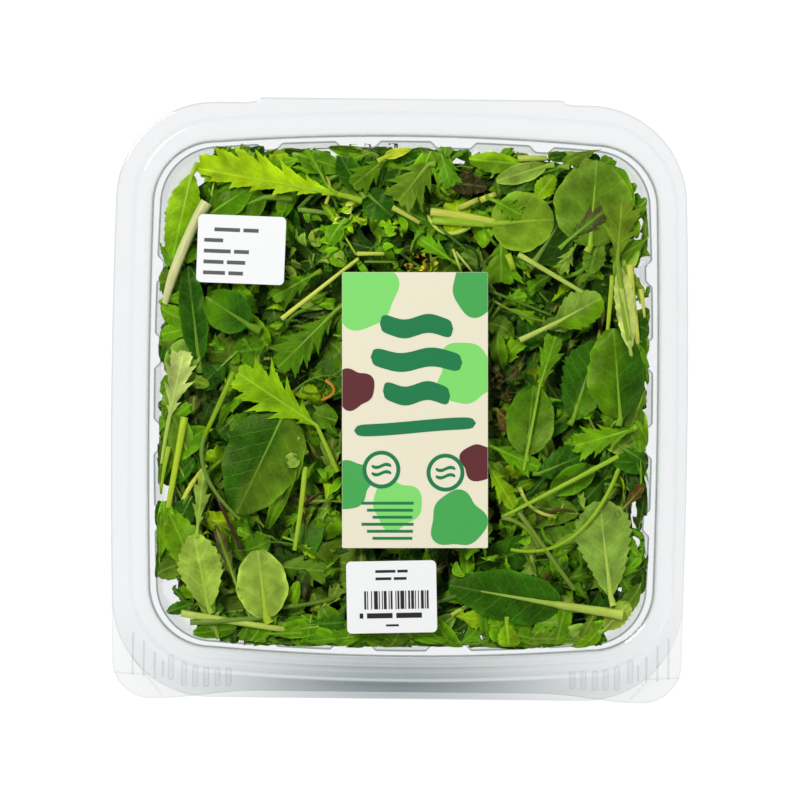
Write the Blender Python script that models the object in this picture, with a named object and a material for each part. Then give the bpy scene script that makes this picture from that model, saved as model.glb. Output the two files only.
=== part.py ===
"""A shut, hinged clear box of mixed salad leaves, with three paper labels on its lid.

Metres, +Z up, +X to the right, +Y towards the hinge at the back. The origin is on the
table, under the middle of the box. Lengths below are in millimetres times MM.
"""
import math
import random

import bmesh
import bpy
from mathutils import Matrix, Vector, noise

MM = 0.001

# The clear sheet, and the gap kept between pieces that touch
SHEET = 0.6 * MM
GAP = 0.3 * MM

# Heights
HEIGHT = 78.0 * MM
TUB_RIM_TOP = 73.8 * MM
LID_FLANGE_BASE = TUB_RIM_TOP + GAP
LEDGE_Z = 69.5 * MM
WALL_FOOT_Z = 7.0 * MM
FLOOR_RISE = 1.2 * MM
PANEL_BASE = 74.9 * MM

# The formed shapes stand a little right of and behind the middle of the trimmed sheet
FORM_X = 1.25 * MM
FORM_Y = 1.05 * MM
FLANGE_Y = -0.7 * MM


def shape_of(half_x, half_y, radius, bow_x, bow_y):
    """An outline seen from above: half sizes between corners, corner radius, bow of the sides."""
    return dict(
        half_x=half_x * MM,
        half_y=half_y * MM,
        radius=radius * MM,
        bow_x=bow_x * MM,
        bow_y=bow_y * MM,
    )


FLANGE = shape_of(93.3, 97.3, 32.0, 0.9, 0.0)
RING_FOOT = shape_of(89.0, 90.4, 28.0, 0.8, 2.5)
RING_TOP = shape_of(87.6, 89.0, 26.6, 0.8, 2.5)
WELL_TOP = shape_of(82.7, 82.8, 20.5, 0.8, 2.5)
WELL_BASE = shape_of(82.1, 82.2, 20.0, 0.8, 2.5)
RIM = shape_of(83.5, 83.6, 21.5, 0.8, 2.5)
LEDGE = shape_of(83.1, 83.2, 21.0, 0.8, 2.5)
WALL_TOP = shape_of(80.6, 81.4, 19.0, 1.4, 2.5)
WALL_FOOT = shape_of(74.8, 75.6, 17.0, 0.5, 1.6)
FOOT = shape_of(70.8, 71.6, 14.0, 0.4, 1.2)
FLOOR_EDGE = shape_of(64.0, 64.8, 12.0, 0.0, 0.0)
FLOOR_PANEL = shape_of(62.6, 63.4, 11.0, 0.0, 0.0)

# Flutes pressed into the tub's walls: place along the side and width
FLUTES_X = (
    (-41.0 * MM, 6.6 * MM),
    (-14.1 * MM, 9.5 * MM),
    (14.1 * MM, 9.5 * MM),
    (41.0 * MM, 6.6 * MM),
)
FLUTES_Y = (
    (-44.7 * MM, 6.0 * MM),
    (-15.7 * MM, 12.8 * MM),
    (15.7 * MM, 12.8 * MM),
    (44.7 * MM, 6.0 * MM),
)
FLUTE_RAMP = 3.0 * MM
FLUTE_DEPTH_TOP = 2.0 * MM
FLUTE_DEPTH_FOOT = 1.0 * MM
FLUTE_DEPTH_FLOOR = 0.4 * MM
CORNER_STEPS = 5
ON_EDGE = 0.01 * MM
MERGE = 0.01 * MM

# The lid's front edge, set back in the middle, with a lifting ear at each corner
FRONT_Y = -95.7 * MM
EAR_Y = -98.55 * MM
EAR_X = 93.0 * MM
EAR_RADIUS = 12.5 * MM
EAR_CURVE_START = 46.0 * MM
EAR_CURVE_END = 80.0 * MM
EAR_CURVE_STEPS = 12
EAR_START_Y = -45.0 * MM

# Ribs pressed up in the lid's front corners
RIB_PITCH = 3.65 * MM
RIB_WIDTH = 1.5 * MM
RIB_HEIGHT = 0.7 * MM
RIB_CROWN = 0.8
RIB_FIRST_X = 87.4 * MM
RIB_COUNT = 9
RIB_OUTER_Y = -92.3 * MM
RIB_RING_GAP = 0.7 * MM
RIB_LEAST_LENGTH = 3.0 * MM

# The living hinge: one sheet, split along its fold
HINGE_X = 2.8 * MM
HINGE_WIDTH = 100.6 * MM
HINGE_Y = 98.7 * MM
HINGE_Z = TUB_RIM_TOP + GAP / 2
FOLD_GAP = 0.15 * MM
HINGE_ROOT = 3.0 * MM
HINGE_BEVEL_X = 0.8 * MM
HINGE_BEVEL_Y = 0.6 * MM

# Labels: width and length, corner radius, place, turn in degrees
LABEL_THICKNESS = 0.2 * MM
LABEL_CORNER_STEPS = 3
LABEL_MAIN = dict(
    size=(47.8 * MM, 90.4 * MM),
    radius=0.4 * MM,
    place=(5.1 * MM, -3.5 * MM),
    turn=0.6,
)
LABEL_CONTENTS = dict(
    size=(28.8 * MM, 22.3 * MM),
    radius=1.6 * MM,
    place=(-52.4 * MM, 48.5 * MM),
    turn=-1.6,
)
LABEL_BARCODE = dict(
    size=(29.5 * MM, 23.6 * MM),
    radius=1.6 * MM,
    place=(-1.9 * MM, -64.8 * MM),
    turn=1.6,
)

# The heap of leaves
HEAP_SEED = 17
HEAP_TOP = 70.4 * MM
HEAP_BUMP = 0.9 * MM
HEAP_EDGE_RADIUS = 7.0 * MM
HEAP_TOP_HALF = (75.0 * MM, 76.4 * MM)
HEAP_FOOT_HALF = (68.5 * MM, 69.4 * MM)
HEAP_CORNER = 24.0 * MM
HEAP_UNDERSIDE_SCALE = 0.93
HEAP_UNDERSIDE_EDGE = 4.0 * MM
HEAP_SIDE_STEPS = 5
HEAP_SHOULDER_SCALE = 0.965
HEAP_SHOULDER = 0.3
HEAP_TOP_SCALES = (0.88, 0.68, 0.45, 0.22)
HEAP_DENT = 1.6 * MM
DENTS_PER_METRE = 60
BUMPS_PER_METRE = 90
LEAF_THICKNESS = 0.7 * MM
LEAF_TOP_LIMIT = 74.5 * MM
LEAF_ROOT_Z = 69.4 * MM
LEAF_LEVEL = 71.6 * MM
LEVEL_STEP = 0.75 * MM
WALL_CLEARANCE = 0.8 * MM
PULL_IN = 0.99
PULL_LIMIT = 60

# Leaves pressed against each wall
SIDE_LEAVES = 4
SIDE_RUN = 108.0 * MM
SIDE_SCATTER = 5.0 * MM
SIDE_HEIGHTS = (20.0 * MM, 52.0 * MM)
SIDE_LENGTHS = (26.0 * MM, 36.0 * MM)
SIDE_WIDTHS = (11.0 * MM, 18.0 * MM)
SIDE_LOW = 6.0 * MM
SIDE_HIGH = 67.4 * MM
SIDE_STEPS = 5
SIDE_BULGE = 2.4 * MM
SIDE_ROOT = 0.7 * MM
SIDE_EDGE_LIFT = -0.25 * MM

# Leaves that show on top, in millimetres: kind, root, foot of the blade, tip, width, level.
# A higher level lies over a lower one.
TOP_LEAVES = (
    ("tatsoi", (-36, 66), (-45, 66), (-59, 60), 11, 0),
    ("mizuna", (-40, 74), (-45, 74), (-66, 73), 9, 2),
    ("mizuna", (-13, 65), (-24, 68.5), (-58, 81), 17, 3),
    ("mustard", (-67, 77), (-69, 73), (-75, 45.5), 13, 1),
    ("tatsoi", (-66, 8), (-66, 12), (-70, 43), 9, 0),
    ("tatsoi", (-46, 22), (-50, 24), (-64, 33), 14, 1),
    ("mizuna", (-20, 66), (-24.5, 70), (-32, 83), 4, 3),
    ("tatsoi", (-12, 66), (-14, 69), (-20.5, 80), 8, 1),
    ("mizuna", (-3, 80), (-5, 79), (-16, 70), 12, 2),
    ("mizuna", (11, 77.5), (8.7, 77.2), (-1, 65), 17, 2),
    ("tatsoi", (-8, 78), (-5.5, 79.5), (3, 84), 4.5, 3),
    ("tatsoi", (-14, 69), (-12, 68), (-3, 60), 10, 0),
    ("tatsoi", (-18, 59), (-20, 57), (-24, 51), 6, 2),
    ("mizuna", (12, 84), (12.5, 82), (15, 71), 7, 2),
    ("mustard", (42, 77), (39, 77.5), (22, 79), 8, 2),
    ("tatsoi", (55, 77), (52, 77), (32, 69), 8, 0),
    ("tatsoi", (50, 77.5), (47, 77), (31, 72), 5, 2),
    ("mustard", (12, 72), (14, 71.5), (28, 70), 7, 1),
    ("mizuna", (27, 67), (29.5, 66), (39, 61), 9, 3),
    ("tatsoi", (42, 44), (44, 46), (53, 60), 17, 1),
    ("tatsoi", (10.5, 60.5), (29.8, 58), (50, 59.5), 20, 2),
    ("mizuna", (20, 44), (17, 45.5), (6, 53), 8, 1),
    ("mizuna", (33, 56), (33, 53), (33, 39), 19, 0),
    ("mustard", (43, 64), (44, 66), (50, 74), 7, 1),
    ("tatsoi", (61, 52), (62, 55), (71, 77), 20, 1),
    ("tatsoi", (61, 49), (62, 51), (64, 79), 26, 2),
    ("mizuna", (52, 50), (54, 52), (67, 63), 9, 3),
    ("mizuna", (75, 20), (71, 46), (72.3, 66), 17, 3),
    ("mizuna", (58, 53), (57, 51), (52, 42), 7, 1),
    ("mustard", (66, 56), (65, 54), (62, 42), 8, 1),
    ("tatsoi", (64, 19), (55, 24), (42, 33), 9, 2),
    ("mustard", (56, -8), (57, -6), (65, 19.5), 17, 1),
    ("tatsoi", (72, -8), (73, -5.5), (74, 23), 19, 2),
    ("mizuna", (41, -23), (46, 6), (55, 17), 11, 3),
    ("tatsoi", (42, -20), (42, -17.5), (44, 5), 16, 1),
    ("mizuna", (78, -8), (77, -9), (57, -15), 14, 2),
    ("mizuna", (27, -19), (29, -21), (38, -35), 10, 2),
    ("mustard", (71, -67), (70, -64), (66, -33), 19, 2),
    ("tatsoi", (74, -70), (53, -67), (17, -61), 15, 2),
    ("mizuna", (29, -75), (31, -76), (39, -80), 6, 3),
    ("mizuna", (-17, 32), (-21, 29), (-40, 10), 17, 1),
    ("mizuna", (-20, -24), (-27, -9), (-52, 7), 17, 3),
    ("mizuna", (-62, -12), (-64, -10), (-76, 6), 12, 2),
    ("tatsoi", (-34, -10), (-37, -12), (-62, -31), 27, 2),
    ("mustard", (-65, -61), (-66, -58), (-75, -38.5), 13, 1),
    ("mustard", (-61, -71), (-62, -69), (-67, -45), 15, 2),
    ("tatsoi", (-42, -74), (-43, -72), (-46, -50), 17, 3),
    ("mizuna", (-51, -66), (-52, -64), (-60, -42), 6, 3),
)

# Bare stalks that show on top: one end, the other end, width, level
TOP_STALKS = (
    ((-64, 64), (-78, 30.5), 3.4, 3),
    ((-39, 26), (-14, 46), 1.5, 3),
    ((-34, 62), (-25, 61), 1.7, 2),
    ((-3, 63), (6, 58), 1.8, 2),
    ((38, 79.5), (47.5, 79.8), 2.3, 3),
    ((18.7, 62.8), (30.5, 67.5), 2.1, 2),
    ((38.5, 48), (60, 35.5), 1.8, 3),
    ((75, 45), (78, 19), 2.2, 1),
    ((72, -18), (34, -38.5), 1.6, 3),
    ((34, -38.5), (47, -50), 1.5, 3),
    ((39, -36), (58, -62), 1.8, 3),
    ((-77, -6), (-72, -36), 2.0, 2),
    ((-70, -8), (-77, -30), 1.9, 3),
    ((-71, -71), (-37, -76), 2.4, 2),
    ((-33, -22), (-29, -60), 3.4, 2),
)


def material(name, colour, roughness, alpha=1.0):
    """A plain material; alpha below 1 is clear sheet."""
    made = bpy.data.materials.new(name)
    made.use_nodes = True
    shader = made.node_tree.nodes["Principled BSDF"]
    shader.inputs["Base Color"].default_value = (*colour, 1.0)
    shader.inputs["Roughness"].default_value = roughness
    shader.inputs["Metallic"].default_value = 0.0
    shader.inputs["Alpha"].default_value = alpha
    made.diffuse_color = (*colour, alpha)
    return made


def new_object(name, bm, paint, collection=None):
    """Turn a bmesh into a named object with one material."""
    bmesh.ops.recalc_face_normals(bm, faces=bm.faces)
    mesh = bpy.data.meshes.new(name)
    bm.to_mesh(mesh)
    bm.free()
    mesh.materials.append(paint)
    made = bpy.data.objects.new(name, mesh)
    (collection or bpy.context.scene.collection).objects.link(made)
    return made


def side_stations(run, flutes, depth):
    """Places along one side as (distance from its middle, inset)."""
    stations = [(-run, 0.0)]
    if flutes:
        for place, width in flutes:
            for edge, outer, inner in ((-1, 0.0, depth), (1, depth, 0.0)):
                at = place + edge * width / 2
                stations.append((at - FLUTE_RAMP / 2, outer))
                stations.append((at + FLUTE_RAMP / 2, inner))
    else:
        stations += [(-run / 2, 0.0), (0.0, 0.0), (run / 2, 0.0)]
    stations.append((run, 0.0))
    return stations


def outline(shape, centre=(FORM_X, FORM_Y), depth=None):
    """A rounded rectangle with bowed sides, anticlockwise; with a depth, its sides are fluted."""
    half_x = shape["half_x"]
    half_y = shape["half_y"]
    radius = shape["radius"]
    flutes_x = FLUTES_X if depth is not None else None
    flutes_y = FLUTES_Y if depth is not None else None
    run_x = half_x - radius
    run_y = half_y - radius
    bow_x = shape["bow_x"]
    bow_y = shape["bow_y"]
    sides = (
        (Vector((1, 0)), half_x, run_y, bow_x, flutes_x),
        (Vector((0, 1)), half_y, run_x, bow_y, flutes_y),
        (Vector((-1, 0)), half_x, run_y, bow_x, flutes_x),
        (Vector((0, -1)), half_y, run_x, bow_y, flutes_y),
    )
    points = []
    for out, reach, run, bow, flutes in sides:
        middle = out * reach
        along = Vector((-out.y, out.x))
        for place, inset in side_stations(run, flutes, depth):
            swell = bow * (1 - (place / run) ** 2)
            points.append(middle + along * place + out * (swell - inset))
        hub = middle + along * run - out * radius
        for step in range(1, CORNER_STEPS):
            angle = math.radians(90) * step / CORNER_STEPS
            turned = out * math.cos(angle) + along * math.sin(angle)
            points.append(hub + turned * radius)
    shift = Vector(centre)
    return [point + shift for point in points]


def hinge_tab():
    """The hinge strip's outer edge, from its right end to its left end."""
    right = HINGE_X + HINGE_WIDTH / 2
    left = HINGE_X - HINGE_WIDTH / 2
    flange_back = FLANGE_Y + FLANGE["half_y"]
    fold = HINGE_Y - FOLD_GAP
    return [
        Vector((right + HINGE_ROOT, flange_back)),
        Vector((right, fold - HINGE_BEVEL_Y)),
        Vector((right - HINGE_BEVEL_X, fold)),
        Vector((left + HINGE_BEVEL_X, fold)),
        Vector((left, fold - HINGE_BEVEL_Y)),
        Vector((left - HINGE_ROOT, flange_back)),
    ]


def with_hinge(points):
    """Put the hinge strip in place of the points along the middle of the back edge."""
    tab = hinge_tab()
    flange_back = FLANGE_Y + FLANGE["half_y"]
    kept_right = []
    kept_left = []
    target = kept_right
    for point in points:
        on_back = abs(point.y - flange_back) < ON_EDGE
        if on_back and tab[-1].x <= point.x <= tab[0].x:
            target = kept_left
            continue
        target.append(point)
    return kept_right + tab + kept_left


def tub_outline():
    """The tub's flange: round corners all round, and the hinge strip at the back."""
    return with_hinge(outline(FLANGE, centre=(0.0, FLANGE_Y)))


def front_edge_y(x):
    """The lid's front edge swings forward from the middle towards the ears."""
    share = (abs(x) - EAR_CURVE_START) / (EAR_CURVE_END - EAR_CURVE_START)
    share = min(max(share, 0.0), 1.0)
    return FRONT_Y + (EAR_Y - FRONT_Y) * share * share * (3 - 2 * share)


def arc(hub, radius, start, steps):
    """Points of a quarter circle, anticlockwise from the start angle in degrees."""
    points = []
    for step in range(steps + 1):
        angle = math.radians(start + 90 * step / steps)
        points.append(hub + Vector((math.cos(angle), math.sin(angle))) * radius)
    return points


def lid_outline():
    """The lid's flange: like the tub's at the back and sides, with two ears in front."""
    behind = [p for p in outline(FLANGE, centre=(0.0, FLANGE_Y)) if p.y > EAR_START_Y]
    right_side = sorted((p for p in behind if p.x > 0 and p.y < 0), key=lambda p: p.y)
    left_side = sorted((p for p in behind if p.x < 0 and p.y < 0), key=lambda p: -p.y)
    back = [p for p in behind if p.y >= 0]
    hub = Vector((EAR_X - EAR_RADIUS, EAR_Y + EAR_RADIUS))
    front = arc(Vector((-hub.x, hub.y)), EAR_RADIUS, 180, CORNER_STEPS)
    for step in range(1, EAR_CURVE_STEPS):
        x = -EAR_CURVE_END + 2 * EAR_CURVE_END * step / EAR_CURVE_STEPS
        front.append(Vector((x, front_edge_y(x))))
    front += arc(hub, EAR_RADIUS, 270, CORNER_STEPS)
    return with_hinge(right_side + back + left_side + front)


def add_loop(bm, points, z):
    """A closed ring of vertices at height z."""
    return [bm.verts.new((point.x, point.y, z)) for point in points]


def ring_edges(bm, loop):
    """The edges along a ring, made where they are missing."""
    edges = []
    for index, vert in enumerate(loop):
        after = loop[(index + 1) % len(loop)]
        edges.append(bm.edges.get((vert, after)) or bm.edges.new((vert, after)))
    return edges


def wall(bm, lower, upper):
    """Join two rings of the same count."""
    for index in range(len(lower)):
        after = (index + 1) % len(lower)
        bm.faces.new((lower[index], lower[after], upper[after], upper[index]))


def sheet_between(bm, outer, inner):
    """Fill the level band between two rings of any count."""
    edges = ring_edges(bm, outer) + ring_edges(bm, inner)
    bmesh.ops.triangle_fill(bm, edges=edges, use_beauty=True, use_dissolve=False)


def grow(shape, spread):
    """The same outline, grown outwards."""
    grown = dict(shape)
    for key in ("half_x", "half_y", "radius"):
        grown[key] += spread
    return grown


def tub(paint):
    """The lower half: flange, rim, ledge, fluted walls and raised floor, one sheet thick."""
    bm = bmesh.new()
    steps = (
        (RIM, TUB_RIM_TOP, None, SHEET),
        (LEDGE, LEDGE_Z, None, SHEET),
        (WALL_TOP, LEDGE_Z, FLUTE_DEPTH_TOP, SHEET),
        (WALL_FOOT, WALL_FOOT_Z, FLUTE_DEPTH_FOOT, SHEET),
        (FOOT, SHEET, FLUTE_DEPTH_FLOOR, SHEET),
        (FLOOR_EDGE, SHEET, None, 0.0),
        (FLOOR_PANEL, SHEET + FLOOR_RISE, None, 0.0),
    )
    inner_rings = []
    outer_rings = []
    for shape, z, depth, spread in steps:
        inner_rings.append(add_loop(bm, outline(shape, depth=depth), z))
        outer_rings.append(add_loop(bm, outline(grow(shape, spread), depth=depth), z - SHEET))
    edge_top = add_loop(bm, tub_outline(), TUB_RIM_TOP)
    edge_base = add_loop(bm, tub_outline(), TUB_RIM_TOP - SHEET)
    wall(bm, edge_base, edge_top)
    for edge, rings in ((edge_top, inner_rings), (edge_base, outer_rings)):
        rim, ledge, wall_top, wall_foot, foot, floor_edge, floor_panel = rings
        sheet_between(bm, edge, rim)
        wall(bm, rim, ledge)
        sheet_between(bm, ledge, wall_top)
        wall(bm, wall_top, wall_foot)
        wall(bm, wall_foot, foot)
        sheet_between(bm, foot, floor_edge)
        wall(bm, floor_edge, floor_panel)
        bm.faces.new(floor_panel)
    return new_object("tub", bm, paint)


def lid(paint):
    """The upper half: flange with ears, raised ring and sunk panel, one sheet thick."""
    bm = bmesh.new()
    top = LID_FLANGE_BASE + SHEET
    steps = (
        (RING_FOOT, top, -SHEET),
        (RING_TOP, HEIGHT, -SHEET),
        (WELL_TOP, HEIGHT, SHEET),
        (WELL_BASE, PANEL_BASE + SHEET, SHEET),
    )
    upper = []
    lower = []
    for shape, z, spread in steps:
        upper.append(add_loop(bm, outline(shape), z))
        lower.append(add_loop(bm, outline(grow(shape, spread)), z - SHEET))
    edge_top = add_loop(bm, lid_outline(), top)
    edge_base = add_loop(bm, lid_outline(), LID_FLANGE_BASE)
    wall(bm, edge_base, edge_top)
    for edge, rings in ((edge_top, upper), (edge_base, lower)):
        ring_foot, ring_top, well_top, well_base = rings
        sheet_between(bm, edge, ring_foot)
        wall(bm, ring_foot, ring_top)
        wall(bm, ring_top, well_top)
        wall(bm, well_top, well_base)
        bm.faces.new(well_base)
    made = new_object("lid", bm, paint)
    join_all(made, lid_ribs(paint), "EXACT")
    return made


def ring_front_y(x):
    """How far forward the lid's raised ring reaches at x."""
    radius = RING_FOOT["radius"]
    hub_y = FORM_Y - (RING_FOOT["half_y"] - radius)
    out = max(abs(x - FORM_X) - (RING_FOOT["half_x"] - radius), 0.0)
    if out >= radius:
        return hub_y
    return hub_y - math.sqrt(radius * radius - out * out)


def lid_ribs(paint):
    """Low ribs across the front corners, each a small roof sunk into the flange."""
    ribs = bpy.data.collections.new("ribs")
    bpy.context.scene.collection.children.link(ribs)
    low = LID_FLANGE_BASE + SHEET / 2
    high = LID_FLANGE_BASE + SHEET + RIB_HEIGHT
    for side in (-1, 1):
        for number in range(RIB_COUNT):
            x = FORM_X + side * (RIB_FIRST_X - number * RIB_PITCH)
            back = ring_front_y(x) - RIB_RING_GAP
            if back - RIB_OUTER_Y < RIB_LEAST_LENGTH:
                continue
            bm = bmesh.new()
            foot = [
                Vector((x - RIB_WIDTH / 2, RIB_OUTER_Y)),
                Vector((x + RIB_WIDTH / 2, RIB_OUTER_Y)),
                Vector((x + RIB_WIDTH / 2, back)),
                Vector((x - RIB_WIDTH / 2, back)),
            ]
            middle = Vector((x, (back + RIB_OUTER_Y) / 2))
            crown = [middle + (p - middle) * RIB_CROWN for p in foot]
            lower = add_loop(bm, foot, low)
            upper = add_loop(bm, crown, high)
            wall(bm, lower, upper)
            bm.faces.new(lower)
            bm.faces.new(upper)
            new_object("rib", bm, paint, ribs)
    return ribs


def join_all(body, pieces, solver):
    """Fuse closed solids onto a body, keep the one large shell and merge its slivers."""
    union = body.modifiers.new("join", "BOOLEAN")
    union.operation = "UNION"
    union.operand_type = "COLLECTION"
    union.collection = pieces
    union.solver = solver
    bpy.context.view_layer.update()
    graph = bpy.context.evaluated_depsgraph_get()
    fused = bpy.data.meshes.new_from_object(body.evaluated_get(graph))
    body.modifiers.clear()
    for piece in list(pieces.objects):
        bpy.data.objects.remove(piece)
    bpy.data.collections.remove(pieces)
    bm = bmesh.new()
    bm.from_mesh(fused)
    bmesh.ops.triangulate(bm, faces=bm.faces)
    keep_largest(bm)
    bmesh.ops.remove_doubles(bm, verts=bm.verts, dist=MERGE)
    bmesh.ops.dissolve_degenerate(bm, dist=MERGE, edges=bm.edges)
    bmesh.ops.triangulate(bm, faces=bm.faces)
    bm.to_mesh(body.data)
    bm.free()


def keep_largest(bm):
    """Delete loose scraps and the shells of sealed hollows."""
    unseen = set(bm.faces)
    shells = []
    while unseen:
        front = [unseen.pop()]
        shell = list(front)
        while front:
            face = front.pop()
            for edge in face.edges:
                if len(edge.link_faces) != 2:
                    continue
                for other in edge.link_faces:
                    if other in unseen:
                        unseen.remove(other)
                        front.append(other)
                        shell.append(other)
        shells.append(shell)
    shells.sort(key=len)
    spare = [face for shell in shells[:-1] for face in shell]
    bmesh.ops.delete(bm, geom=spare, context="FACES")


def inside_half(z):
    """Half width and half length of the free space in the box at height z."""
    if z > LEDGE_Z + LEAF_THICKNESS + GAP:
        room = WELL_BASE
        share = 1.0
        cut = WALL_CLEARANCE
    else:
        room = WALL_TOP
        share = max((z - WALL_FOOT_Z) / (LEDGE_Z - WALL_FOOT_Z), 0.0)
        cut = WALL_CLEARANCE + FLUTE_DEPTH_TOP
    half_x = WALL_FOOT["half_x"] + (room["half_x"] - WALL_FOOT["half_x"]) * share
    half_y = WALL_FOOT["half_y"] + (room["half_y"] - WALL_FOOT["half_y"]) * share
    return half_x - cut, half_y - cut


def keep_inside(point):
    """Pull a point in until it is clear of the tub's wall and the lid."""
    radius = WALL_FOOT["radius"]
    z = min(point.z, LEAF_TOP_LIMIT)
    half_x, half_y = inside_half(z)
    x = point.x - FORM_X
    y = point.y - FORM_Y
    for _ in range(PULL_LIMIT):
        over_x = max(abs(x) - (half_x - radius), 0.0)
        over_y = max(abs(y) - (half_y - radius), 0.0)
        if math.hypot(over_x, over_y) <= radius:
            break
        x *= PULL_IN
        y *= PULL_IN
    return Vector((x + FORM_X, y + FORM_Y, z))


def heap_levels():
    """Rings of the heap's core as (height, scale), from its underside to near its middle."""
    base = SHEET + FLOOR_RISE + GAP
    side_low = base + HEAP_UNDERSIDE_EDGE
    side_high = HEAP_TOP - HEAP_EDGE_RADIUS
    levels = [(base, HEAP_UNDERSIDE_SCALE)]
    for step in range(HEAP_SIDE_STEPS + 1):
        share = step / HEAP_SIDE_STEPS
        levels.append((side_low + (side_high - side_low) * share, 1.0))
    levels.append((HEAP_TOP - HEAP_EDGE_RADIUS * HEAP_SHOULDER, HEAP_SHOULDER_SCALE))
    return levels + [(HEAP_TOP, scale) for scale in HEAP_TOP_SCALES]


def heap_core(paint):
    """The bumpy mass of leaves that fills the tub, under the leaves that show."""
    bm = bmesh.new()
    rings = []
    for z, scale in heap_levels():
        share = z / HEAP_TOP
        half_x = HEAP_FOOT_HALF[0] + (HEAP_TOP_HALF[0] - HEAP_FOOT_HALF[0]) * share
        half_y = HEAP_FOOT_HALF[1] + (HEAP_TOP_HALF[1] - HEAP_FOOT_HALF[1]) * share
        shape = dict(
            half_x=half_x * scale,
            half_y=half_y * scale,
            radius=HEAP_CORNER * scale,
            bow_x=0.0,
            bow_y=0.0,
        )
        ring = []
        for point in outline(shape):
            dent = noise.noise(Vector((point.x, point.y, z)) * DENTS_PER_METRE) * HEAP_DENT
            pull = 1 - abs(dent) / half_x
            rise = 0.0
            if z >= HEAP_TOP:
                rise = noise.noise(Vector((point.x, point.y, 0)) * BUMPS_PER_METRE) * HEAP_BUMP
            x = FORM_X + (point.x - FORM_X) * pull
            y = FORM_Y + (point.y - FORM_Y) * pull
            ring.append(bm.verts.new((x, y, z + rise)))
        rings.append(ring)
    for lower, upper in zip(rings, rings[1:]):
        wall(bm, lower, upper)
    bm.faces.new(rings[0])
    peak = bm.verts.new((FORM_X, FORM_Y, HEAP_TOP))
    last = rings[-1]
    for index, vert in enumerate(last):
        bm.faces.new((vert, last[(index + 1) % len(last)], peak))
    bmesh.ops.triangulate(bm, faces=bm.faces)
    return new_object("salad", bm, paint)


def strip(bm, stations, thickness):
    """A thin solid along stations of (middle, half width vector, normal, lift of the edges)."""
    tops = []
    bases = []
    for middle, half, normal, lift in stations:
        points = (middle + half + normal * lift, middle, middle - half + normal * lift)
        tops.append([bm.verts.new(keep_inside(p)) for p in points])
        bases.append([bm.verts.new(keep_inside(p) - normal * thickness) for p in points])
    for rows, flip in ((tops, False), (bases, True)):
        for here, after in zip(rows, rows[1:]):
            for left, right in ((0, 1), (1, 2)):
                halves = (
                    (here[left], here[right], after[right]),
                    (here[left], after[right], after[left]),
                )
                for face in halves:
                    bm.faces.new(tuple(reversed(face)) if flip else face)
    for column in (0, 2):
        for index in range(len(tops) - 1):
            top = tops[index][column]
            top_after = tops[index + 1][column]
            base = bases[index][column]
            base_after = bases[index + 1][column]
            bm.faces.new((top, top_after, base_after, base))
    for index in (0, -1):
        top = tops[index]
        base = bases[index]
        bm.faces.new((top[0], top[1], base[1], base[0]))
        bm.faces.new((top[1], top[2], base[2], base[1]))


def blade_width(kind, share, number):
    """Half width of a blade as a share of the full half width."""
    if kind == "tatsoi":
        return max(math.sin(math.pi * min(share * 0.93 + 0.03, 1.0)), 0.0) ** 0.55
    swell = math.sin(math.pi * (0.12 + share * 0.84)) ** 0.8
    if kind == "mizuna":
        return swell * (1.0 if number % 2 else 0.62)
    return swell * (1.0 if number % 2 else 0.86)


def top_leaf(bm, kind, root, foot, tip, width, level, chance):
    """A leaf lying on the heap: its stalk starts inside the heap and its tip droops."""
    root = Vector((*root, 0)) * MM
    foot = Vector((*foot, 0)) * MM
    tip = Vector((*tip, 0)) * MM
    half_width = width * MM / 2
    stalk = min(half_width * 0.3, 1.1 * MM)
    height = LEAF_LEVEL + level * LEVEL_STEP
    stations = []
    along = (foot - root).normalized()
    across = Vector((-along.y, along.x, 0))
    stations.append((Vector((root.x, root.y, LEAF_ROOT_Z)), across * stalk, Vector((0, 0, 1)), 0.0))
    along = (tip - foot).normalized()
    across = Vector((-along.y, along.x, 0))
    steps = 5 if kind == "tatsoi" else 6
    curl = chance.uniform(-0.5, 0.3) * MM
    for number in range(steps + 1):
        share = number / steps
        middle = foot.lerp(tip, share)
        rise = math.sin(math.pi * (0.15 + share * 0.65))
        middle.z = LEAF_ROOT_Z + (height - LEAF_ROOT_Z) * rise
        half = half_width * blade_width(kind, share, number)
        half = max(half, stalk if number == 0 else 0.35 * MM)
        lift = curl * (1 if number % 2 else -0.6)
        stations.append((middle, across * half, Vector((0, 0, 1)), lift))
    strip(bm, stations, LEAF_THICKNESS)


def top_stalk(bm, start, end, width, level):
    """A bare stalk, both ends sunk into the heap."""
    start = Vector((*start, 0)) * MM
    end = Vector((*end, 0)) * MM
    along = (end - start).normalized()
    across = Vector((-along.y, along.x, 0)) * (width * MM / 2)
    thickness = min(width * MM * 0.6, 1.4 * MM)
    height = LEAF_LEVEL + level * LEVEL_STEP
    stations = []
    for share, z in ((0.0, LEAF_ROOT_Z), (0.3, height), (0.7, height), (1.0, LEAF_ROOT_Z)):
        middle = start.lerp(end, share)
        middle.z = z
        stations.append((middle, across, Vector((0, 0, 1)), -0.3 * width * MM))
    strip(bm, stations, thickness)


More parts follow.
